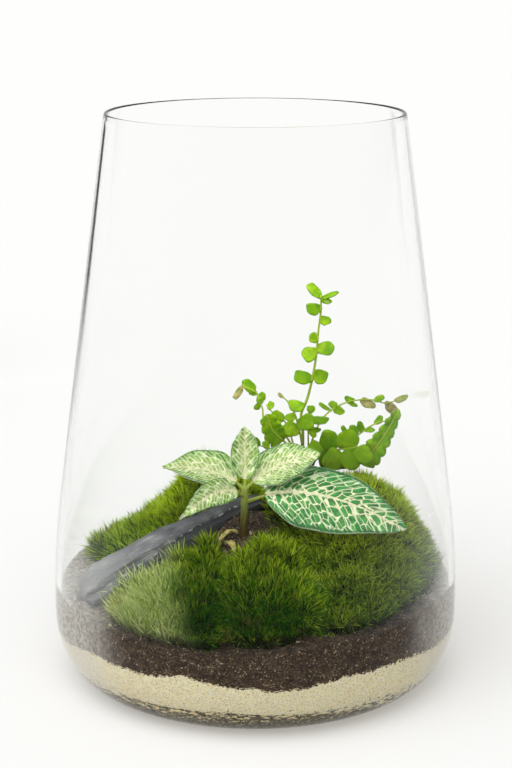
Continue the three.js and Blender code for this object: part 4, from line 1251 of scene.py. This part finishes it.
class TERRARIUM_OT_moss(bpy.types.Operator):
    """Cover the moss cushions with tufts of blades"""

    bl_idname = "terrarium.moss"
    bl_label = "Moss"

    # Kinds of tuft, the height that blades lean away from, and how near roots come to other
    # solids and roots and tips to the slate
    VARIANTS = 8
    HUB_HEIGHT = 48
    WALL_GAP = 0.6
    SLATE_GAPS = (2.2, 2.6)

    def execute(self, context):
        moss = context.scene.terrarium.moss
        bed = moss_bed_finish(moss)
        blades = moss_finish(moss)
        tufts = [self.tuft(moss, seed) for seed in range(self.VARIANTS)]
        slate = tree_of(NODES["slate_stone"])
        walls = [tree_of(NODES[name]) for name in ("soil_mound", "fittonia_stem", "fern_crown")]
        for seed, (name, middle) in enumerate(CUSHIONS.items()):
            others = [tree_of(NODES[other]) for other in CUSHIONS if other != name]
            heart = self.heart(name, moss, bed)
            self.cover(name, heart, middle, moss, tufts, blades, walls + others, slate, seed)
        return {"FINISHED"}

    @staticmethod
    def heart(name, moss, material):
        """The cushion's dense heart, as deep inside its surface as the blades stand out of it."""
        bm = bmesh.new()
        bm.from_mesh(NODES[name].data)
        bmesh.ops.remove_doubles(bm, verts=bm.verts, dist=1e-6)
        bmesh.ops.recalc_face_normals(bm, faces=bm.faces)
        bmesh.ops.scale(bm, vec=(1 / MM,) * 3, verts=bm.verts)
        bm.normal_update()
        for vert in bm.verts:
            vert.co -= vert.normal * moss.depth * clamp(vert.normal.z + 1.1, 0.3, 1)
        return give(bm, name + "_heart", material, "moss", name)

    def tuft(self, moss, seed):
        """A small mesh of blades that fan out from one root, one unit high."""
        rng = random.Random(seed)
        bm = bmesh.new()
        layer = bm.loops.layers.uv.new("Reach")
        for k in range(moss.blades):
            verts = bmesh.ops.create_grid(bm, x_segments=1, y_segments=2, size=1)["verts"]
            tone = clamp((seed + 0.5) / self.VARIANTS + rng.gauss(0, 0.14))
            rows = {v: (v.co.y + 1) / 2 for v in verts}
            lean = rng.uniform(0.05, 0.6)
            bend = rng.uniform(0.2, 0.7)
            height = rng.uniform(0.65, 1.1)
            half = moss.width / moss.length / 2 * rng.uniform(0.8, 1.2)
            heading = 2 * math.pi * (k + rng.random()) / moss.blades
            twist = Matrix.Rotation(rng.uniform(0, math.pi), 3, "Z")
            turn = Matrix.Rotation(heading, 3, "Z")
            for vert, t in rows.items():
                side = twist @ Vector((math.copysign(half, vert.co.x) * (1 - 0.4 * t), 0, 0))
                out = math.sin(lean) * t + 0.35 * bend * t * t
                up = math.cos(lean) * t - 0.2 * bend * t * t
                vert.co = turn @ (Vector((0.12 + out * height, 0, up * height)) + side)
            faces = {f for v in verts for f in v.link_faces}
            write_map(faces, layer, lambda vert: (tone, rows[vert]))
            tips = [v for v, t in rows.items() if t > 0.9]
            bmesh.ops.pointmerge(bm, verts=tips, merge_co=(tips[0].co + tips[1].co) / 2)
        return mesh_of(bm, "tuft")

    def cover(self, name, heart, middle, moss, tufts, material, walls, slate, seed):
        """Strews tufts over a cushion's open faces."""
        rng = random.Random(100 + seed)
        corners = [v.co / MM for v in heart.data.vertices]
        heart.data.calc_loop_triangles()
        faces, areas = [], []
        for triangle in heart.data.loop_triangles:
            a, b, c = (corners[i] for i in triangle.vertices)
            cross = (b - a).cross(c - a)
            if cross.length > 1e-6 and cross.z / cross.length > -0.5:
                faces.append((a, b, c, cross.normalized()))
                areas.append(cross.length / 2)
        count = min(int(sum(areas) / moss.spacing), MOST_TRIANGLES // (moss.blades * 3))
        bm = bmesh.new()
        hub = Vector((*middle, self.HUB_HEIGHT))
        clumps = [(*face, rng.random(), rng.random(), rng.choice(range(len(tufts))))
                  for face in rng.choices(faces, weights=areas, k=count // moss.clump)]
        for a, b, c, normal, s, t, tone in clumps * moss.clump:
            if s + t > 1:
                s, t = 1 - s, 1 - t
            side = normal.orthogonal().normalized()
            spread = Matrix.Rotation(rng.uniform(0, 2 * math.pi), 3, normal) @ side
            out = math.sqrt(rng.random())
            spread *= moss.spread * out
            # Tufts further out in a clump take darker tones: painted shade between the clumps.
            tuft = tufts[max(tone - round(3.5 * out), 0)]
            root = a + (b - a) * s + (c - a) * t + spread - normal * 0.1 * spread.length
            if any(near(wall, root, self.WALL_GAP) for wall in walls):
                continue
            away = (root - hub).normalized()
            jitter = Vector((rng.gauss(0, 1), rng.gauss(0, 1), rng.gauss(0, 0.6)))
            heading = away * 0.5 + Vector((0, 0, 0.4)) + normal * 0.3 + jitter * 0.12
            hang = clamp((72 - root.z) / 22)
            strand = clamp((-32 - root.x) / 14) * clamp((-8 - root.y) / 14)
            heading += spread * 0.25 + Vector((away.x, away.y, -0.3)) * 0.38 * hang
            heading += Vector((-0.5, -0.35, -0.1)) * strand
            heading.normalize()
            grown = 1.15 - 0.3 * out + 0.3 * speckle(root, 7, 4) + 0.4 * hang + 0.3 * strand
            length = moss.length * rng.uniform(0.75, 1.1) * grown
            tip = root + heading * length
            if any(near(slate, *spot) for spot in zip((root, tip), self.SLATE_GAPS)):
                continue
            room = min(inside_radius(tip.z) - 1, COVER_RADIUS)
            if math.hypot(tip.x, tip.y) > room:
                inward = Vector((-root.x, -root.y, 0)).normalized()
                heading = (Vector((0, 0, 1)) + inward * 0.12 + jitter * 0.1).normalized()
                length *= 0.8
                if math.hypot(root.x, root.y) > room - 0.2:
                    continue
            turn = heading.to_track_quat("Z", "Y").to_matrix().to_4x4()
            spin = Matrix.Rotation(rng.uniform(0, 2 * math.pi), 4, "Z")
            sink = Matrix.Translation(root - heading * length * 0.1)
            put(bm, tuft, sink @ turn @ spin @ Matrix.Scale(length, 4))
        give(bm, name + "_blades", material, "moss")


def near(tree, spot, gap):
    """Whether a solid's faces come within a gap of a spot."""
    return tree.find_nearest(spot, gap)[0] is not None


def tree_of(node):
    """A search tree of a solid's faces, in millimetres."""
    corners = [v.co / MM for v in node.data.vertices]
    return BVHTree.FromPolygons(corners, [tuple(p.vertices) for p in node.data.polygons])


class TERRARIUM_OT_nerve_plant(bpy.types.Operator):
    """Grow the nerve plant's stem and leaves"""

    bl_idname = "terrarium.nerve_plant"
    bl_label = "Nerve Plant"

    def execute(self, context):
        plant = context.scene.terrarium.nerve_plant
        kinds = (("nerve", "Small nerve leaf", (plant.young_dark, plant.young_light)),
                 ("nerve_dark", "Large nerve leaf", (plant.cell_dark, plant.cell_light)))
        materials = {slot: nerve_finish(name, plant, greens, **VEINS[slot])
                     for slot, name, greens in kinds}
        for leaf in LEAVES:
            self.leaf(leaf, plant, materials)
        self.stem(plant)
        return {"FINISHED"}

    @staticmethod
    def half_width(t, width, taper):
        """Half the leaf's width along its rib, with fine teeth."""
        widest = 0.62 / (0.62 + taper)
        wide = (t / widest) ** 0.62 * ((1 - t) / (1 - widest)) ** taper if 0 < t < 1 else 0
        tooth = 1 + 0.018 * math.sin(t * 2 * math.pi * 34)
        return max(wide * tooth, 0.03) * width / 2

    def leaf(self, leaf, plant, materials):
        """One puckered leaf on its curved rib."""
        slot = "nerve_dark" if leaf["width"] > LARGE_LEAF else "nerve"
        spacing = PUCKERS[slot]
        far = Vector(leaf["side"])
        fold = math.radians(leaf["fold"])
        line = [bezier(leaf["rib"], i / 20)[0] for i in range(21)]
        length = sum((b - a).length for a, b in zip(line, line[1:]))

        def place(u, t):
            middle, along = bezier(leaf["rib"], t)
            reach = u * self.half_width(t, leaf["width"], leaf["taper"])
            wave = math.cos(2 * math.pi * (t * length - 0.8 * abs(reach)) / spacing)
            pucker = 0.05 * spacing * wave * min(abs(reach) / 3, 1) * (1 - abs(u) ** 4)
            ripple = 0.6 * abs(u) ** 3 * math.sin(t * 17 + (3 if u > 0 else 0))
            groove = -0.45 * math.exp(-(reach / 1.4) ** 2)
            return folded(middle, along, far, reach, fold, pucker + ripple + groove)

        bm = bmesh.new()
        spots = sheet_grid(bm, 30, 80, place)

        def blade(vert):
            u, t = spots[vert]
            reach = u * self.half_width(t, leaf["width"], leaf["taper"])
            return 0.5 + reach / BLADE_SPAN, t * length / BLADE_SPAN

        def margin(vert):
            u, t = spots[vert]
            return (u + 1) / 2, t

        layers = bm.loops.layers.uv
        write_map(bm.faces, layers.new("Blade"), blade)
        write_map(bm.faces, layers.new("Margin"), margin)
        face_up(bm)
        piece = give(bm, leaf["name"] + "_blade", materials[slot], slot, leaf["name"])
        thicken(piece, plant.thickness)

    @staticmethod
    def stem(plant):
        """The stem with its leaf stalks and the swollen joints between them."""
        bm = bmesh.new()
        foot, top = Vector(STEM["foot"]), Vector(STEM["top"])
        steps = 26
        stations = []
        for i in range(steps + 1):
            t = i / steps
            point = foot.lerp(top, t)
            knuckle = sum(math.exp(-((point.z - z) / 1.1) ** 2) for z in STEM["joints"])
            radius = lerp(*STEM["radii"], t) * (0.95 + 0.12 * knuckle)
            stations.append((point, (top - foot).normalized(), radius))
        sweep(bm, stations, 20, 1, 0.05)
        for leaf in LEAVES:
            base = bezier(leaf["rib"], 0.02)[0]
            start = foot.lerp(top, (leaf["joint"] - foot.z) / (top.z - foot.z))
            middle = start.lerp(base, 0.5) + Vector((0, 0, -0.4))
            stalk = Route([start, middle, base - Vector((0, 0, 0.5))])
            sweep(bm, stem_stations(stalk, (1.15, 0.8), 8), 12)
        material = stalk_finish("Nerve plant stem", plant.stem_low, plant.stem_high, 82, 110)
        give(bm, "fittonia_stalk", material, "stem", "fittonia_stem")


class TERRARIUM_OT_fern(bpy.types.Operator):
    """Grow the fern's crown and fronds"""

    bl_idname = "terrarium.fern"
    bl_label = "Fern"

    def execute(self, context):
        fern = context.scene.terrarium.fern
        material = fern_finish(fern)
        stalk = stalk_finish("Fern stalk", fern.stalk_low, fern.stalk_high, 104, 130)
        for frond in FRONDS:
            self.frond(frond, fern, material, stalk)
        self.crown(fern)
        return {"FINISHED"}

    def frond(self, frond, fern, material, stalk):
        """One frond: its stalk, and its leaflets or its blade."""
        route = Route(frond["route"])
        bm = bmesh.new()
        bm.loops.layers.uv.new("Age")
        radius = frond["radius"]
        sweep(bm, stem_stations(route, (radius * 1.1, radius * 0.55), 34), 10)
        stalk_faces = len(bm.faces)
        leaflets = frond.get("leaflets", [])
        draw = draws(len(frond["route"]) * 100 + len(leaflets))
        for number, (place, angle, length, width, age) in enumerate(leaflets):
            root = route.at(leafy(route, place))[0]
            lean = math.radians(40 * (next(draw) - 0.5))
            self.leaflet(bm, root, math.radians(angle), length, width, lean, age, number, fern)
        if "blade" in frond:
            self.sword(bm, route, fern, **frond["blade"])
        bm.faces.ensure_lookup_table()
        for index, face in enumerate(bm.faces):
            face.material_index = 1 if index < stalk_faces else 0
        piece = give(bm, frond["name"] + "_leaves", material, "fern", frond["name"])
        piece.data.materials.append(stalk)

    @staticmethod
    def leaflet(bm, root, angle, length, width, lean, age, number, fern):
        """One round, slightly cupped leaflet with a waved edge, closed all round."""
        along = Vector((math.cos(angle), math.sin(lean), math.sin(angle))).normalized()
        face = Vector((0, -0.9, 0.44))
        face = (face - along * face.dot(along)).normalized()
        out = along.cross(face)
        tilt = 0.35 * math.sin(number * 2.4)
        sheet = bmesh.new()
        uv = sheet.loops.layers.uv.new("Age")
        verts = bmesh.ops.create_grid(sheet, x_segments=8, y_segments=8, size=1)["verts"]
        depth = {}
        for vert in verts:
            a, b = vert.co.x, vert.co.y
            x = a * math.sqrt(1 - b * b / 2)
            y = b * math.sqrt(1 - a * a / 2)
            far = math.hypot(x, y)
            turn = math.atan2(x, -y)
            wave = 1 + far ** 3 * (0.06 * math.cos(3 * turn + number * 1.9)
                                   + 0.04 * math.cos(5 * turn + number))
            flat = 0.8 if x * out.z > 0 else 1.05
            wide = math.copysign(abs(x) ** 0.92, x) * width / 2 * wave * lerp(1, flat, abs(x))
            reach = lerp(-0.4, length, (1 + y * wave) / 2)
            cup = -0.14 * wide ** 2 / width - 0.03 * (reach - length / 2) ** 2 / length
            crease = -0.16 * math.exp(-(wide / 0.5) ** 2)
            ripple = 0.16 * far ** 2 * math.sin(3 * turn + number * 1.7)
            depth[vert] = far
            vert.co = (root + along * reach + out * wide
                       + face * (cup + crease + ripple + tilt * wide * 0.5 + fern.thickness / 2))
        write_map(sheet.faces, uv, lambda vert: (age, depth[vert]))
        add_thick(bm, sheet, fern.thickness)

    @staticmethod
    def sword(bm, route, fern, start, width, end, lobes):
        """A young blade with a scalloped edge along its stalk."""
        begin = leafy(route, start)
        chord = (route.at(1)[0] - route.at(begin)[0]).normalized()
        side = chord.cross(Vector((0, -0.95, 0.3)))
        fold = math.radians(8)

        def place(u, t):
            middle, along = route.at(lerp(begin, 1, t))
            taper = min(t / 0.12, 1) * lerp(1, end, t) * min((1.03 - t) / 0.08, 1)
            lobe = lerp(0.72, 1, abs(math.sin(math.pi * lobes * t)) ** 0.7)
            reach = u * width / 2 * max(taper * lobe, 0.08)
            swell = 0.35 * abs(math.sin(math.pi * lobes * t)) * math.sin(math.pi * abs(u))
            ripple = 0.5 * abs(u) ** 3 * math.sin(t * 2 * math.pi * lobes)
            crease = -0.5 * math.exp(-(reach / 1.0) ** 2)
            return folded(middle, along, side, reach, fold, swell + ripple + crease + 0.4)

        sheet = bmesh.new()
        uv = sheet.loops.layers.uv.new("Age")
        spots = sheet_grid(sheet, 12, 16 * lobes, place)
        write_map(sheet.faces, uv, lambda vert: (0.02, abs(spots[vert][0]) * 0.9))
        add_thick(bm, sheet, fern.thickness)

    @staticmethod
    def crown(fern):
        """The scaly crown that the fronds rise from."""
        bm = bmesh.new()
        stations = []
        steps = 30
        for i in range(steps + 1):
            t = i / steps
            z = lerp(CROWN["foot"], CROWN["top"], t)
            radius = lerp(*CROWN["radii"], t) * (0.6 if i == steps else 1)
            stations.append((Vector((CROWN["x"], CROWN["y"], z)), Vector((0, 0, 1)), radius))
        sweep(bm, stations, 28, 3, 0.35)
        give(bm, "fern_rootstock", crown_finish(fern), "crown", "fern_crown")


class TERRARIUM_OT_scraps(bpy.types.Operator):
    """Lay the dry leaf scraps on the soil"""

    bl_idname = "terrarium.scraps"
    bl_label = "Dry Scraps"

    def execute(self, context):
        material = dry_finish(context.scene.terrarium.dry)
        for number, scrap in enumerate(SCRAPS):
            self.scrap(scrap, material, number)
        return {"FINISHED"}

    @staticmethod
    def scrap(scrap, material, number):
        """One curled scrap."""
        half = polar(scrap["turn"] + 90, scrap["length"] / 2, 0)
        middle = Vector((scrap["x"], scrap["y"], 0))
        lift = CLEARANCE + 1.4

        def on(p, up):
            return Vector((p.x, p.y, soil_top(p.x, p.y) + lift + up))

        rib = [on(middle - half, 0), on(middle, 2 * scrap["arch"]), on(middle + half, 0)]
        far = polar(scrap["turn"], 1, 0.1)
        fold = math.radians(30)

        def place(u, t):
            point, along = bezier(rib, t)
            torn = 1 + 0.3 * speckle((t * 9, u * 2, number), 1, 3)
            reach = u * scrap["width"] / 2 * max(math.sin(math.pi * t) ** 0.6, 0.2) * torn
            crumple = 0.8 * speckle((t * 6, u * 3, number + 4), 1, 6)
            return folded(point, along, far, reach, fold, crumple)

        bm = bmesh.new()
        sheet_grid(bm, 12, 28, place)
        face_up(bm)
        piece = give(bm, scrap["name"] + "_leaf", material, "dry", scrap["name"])
        thicken(piece, 0.5)


class TERRARIUM_OT_stage(bpy.types.Operator):
    """Lay the white sweep, light it and set up the camera"""

    bl_idname = "terrarium.stage"
    bl_label = "Stage"

    def execute(self, context):
        scene = context.scene
        stage = scene.terrarium.stage
        bm = bmesh.new()
        bmesh.ops.create_circle(bm, cap_ends=True, segments=96, radius=60)
        mesh = mesh_of(bm, "sweep")
        mesh.materials.append(floor_finish(stage))
        floor = link("sweep", mesh)
        floor.location.z = -0.0002
        for flag in FLAGS:
            self.flag(**flag)
        self.surround(scene, stage)
        camera = bpy.data.cameras.new("camera")
        camera.lens = stage.lens
        camera.sensor_width = 36
        camera.shift_x = 0.001
        camera.clip_start = 0.01
        holder = link("camera", camera)
        holder.location = (0, -stage.distance, stage.height)
        holder.rotation_euler = (math.pi / 2 - stage.pitch, 0, 0)
        scene.camera = holder
        scene.view_settings.view_transform = "Standard"
        scene.view_settings.look = "None"
        return {"FINISHED"}

    @staticmethod
    def flag(name, x, length, turn, tone):
        """A card on edge, out of the camera's view, whose dark top draws the glass's outline."""
        bm = bmesh.new()
        bmesh.ops.create_grid(bm, x_segments=1, y_segments=1, size=0.5)
        bmesh.ops.scale(bm, vec=(length, FLAG_HEIGHT, 1), verts=bm.verts)
        mesh = mesh_of(bm, name)
        recipe = Recipe(name)
        height = recipe.part(recipe.spot(1.0), 1)
        fade = recipe.step(height, -FLAG_HEIGHT / 2, 0.01, 0.8, tone)
        mesh.materials.append(recipe.surface(
            Base_Color=recipe.blend(fade, (0.01, 0.01, 0.01), (0.9, 0.9, 0.9)), Roughness=0.9))
        card = link(name, mesh)
        card.location = (x, 0.56, FLAG_HEIGHT / 2)
        card.rotation_euler = (math.pi / 2, 0, math.radians(turn))

    @staticmethod
    def surround(scene, stage):
        """A soft bright surround, brightest up and to the left."""
        recipe = Recipe("Studio", "worlds")
        heading = recipe.node("ShaderNodeTexCoord", output="Generated")
        key, side = (recipe.step(recipe.dot(heading, Vector(way).normalized()), low, high)
                     for way, low, high in (KEY_LIGHT, SIDE_LIGHT))
        shader = recipe.node("ShaderNodeBackground", {}, {
            "Color": rgba(SURROUND), "Strength": stage.fill + key * stage.key + side * 0.5})
        recipe.node("ShaderNodeOutputWorld", {}, {"Surface": shader})
        scene.world = recipe.owner


class TERRARIUM_PT_panel(bpy.types.Panel):
    """Lists the terrarium's steps and settings."""

    bl_idname = "TERRARIUM_PT_panel"
    bl_label = "Terrarium"
    bl_space_type = "VIEW_3D"
    bl_region_type = "UI"
    bl_category = "Terrarium"

    def draw(self, context):
        settings = context.scene.terrarium
        for operator in OPERATORS:
            self.layout.operator(operator.bl_idname)
        for name, group in SETTINGS.items():
            box = self.layout.box()
            box.label(text=name.replace("_", " ").title())
            for prop in group.__annotations__:
                box.prop(getattr(settings, name), prop)


OPERATORS = (
    TERRARIUM_OT_stage,
    TERRARIUM_OT_ground,
    TERRARIUM_OT_slate,
    TERRARIUM_OT_moss,
    TERRARIUM_OT_nerve_plant,
    TERRARIUM_OT_fern,
    TERRARIUM_OT_scraps,
    TERRARIUM_OT_jar,
)
CLASSES = (*SETTINGS.values(), TerrariumSettings, *OPERATORS, TERRARIUM_PT_panel)


def register():
    """Registers the classes and the scene's settings."""
    for each in CLASSES:
        bpy.utils.register_class(each)
    bpy.types.Scene.terrarium = PointerProperty(type=TerrariumSettings)


def unregister():
    """Removes what register added."""
    del bpy.types.Scene.terrarium
    for each in reversed(CLASSES):
        bpy.utils.unregister_class(each)


def main():
    register()
    for operator in OPERATORS:
        group, name = operator.bl_idname.split(".")
        getattr(getattr(bpy.ops, group), name)()


if __name__ == "__main__":
    main()
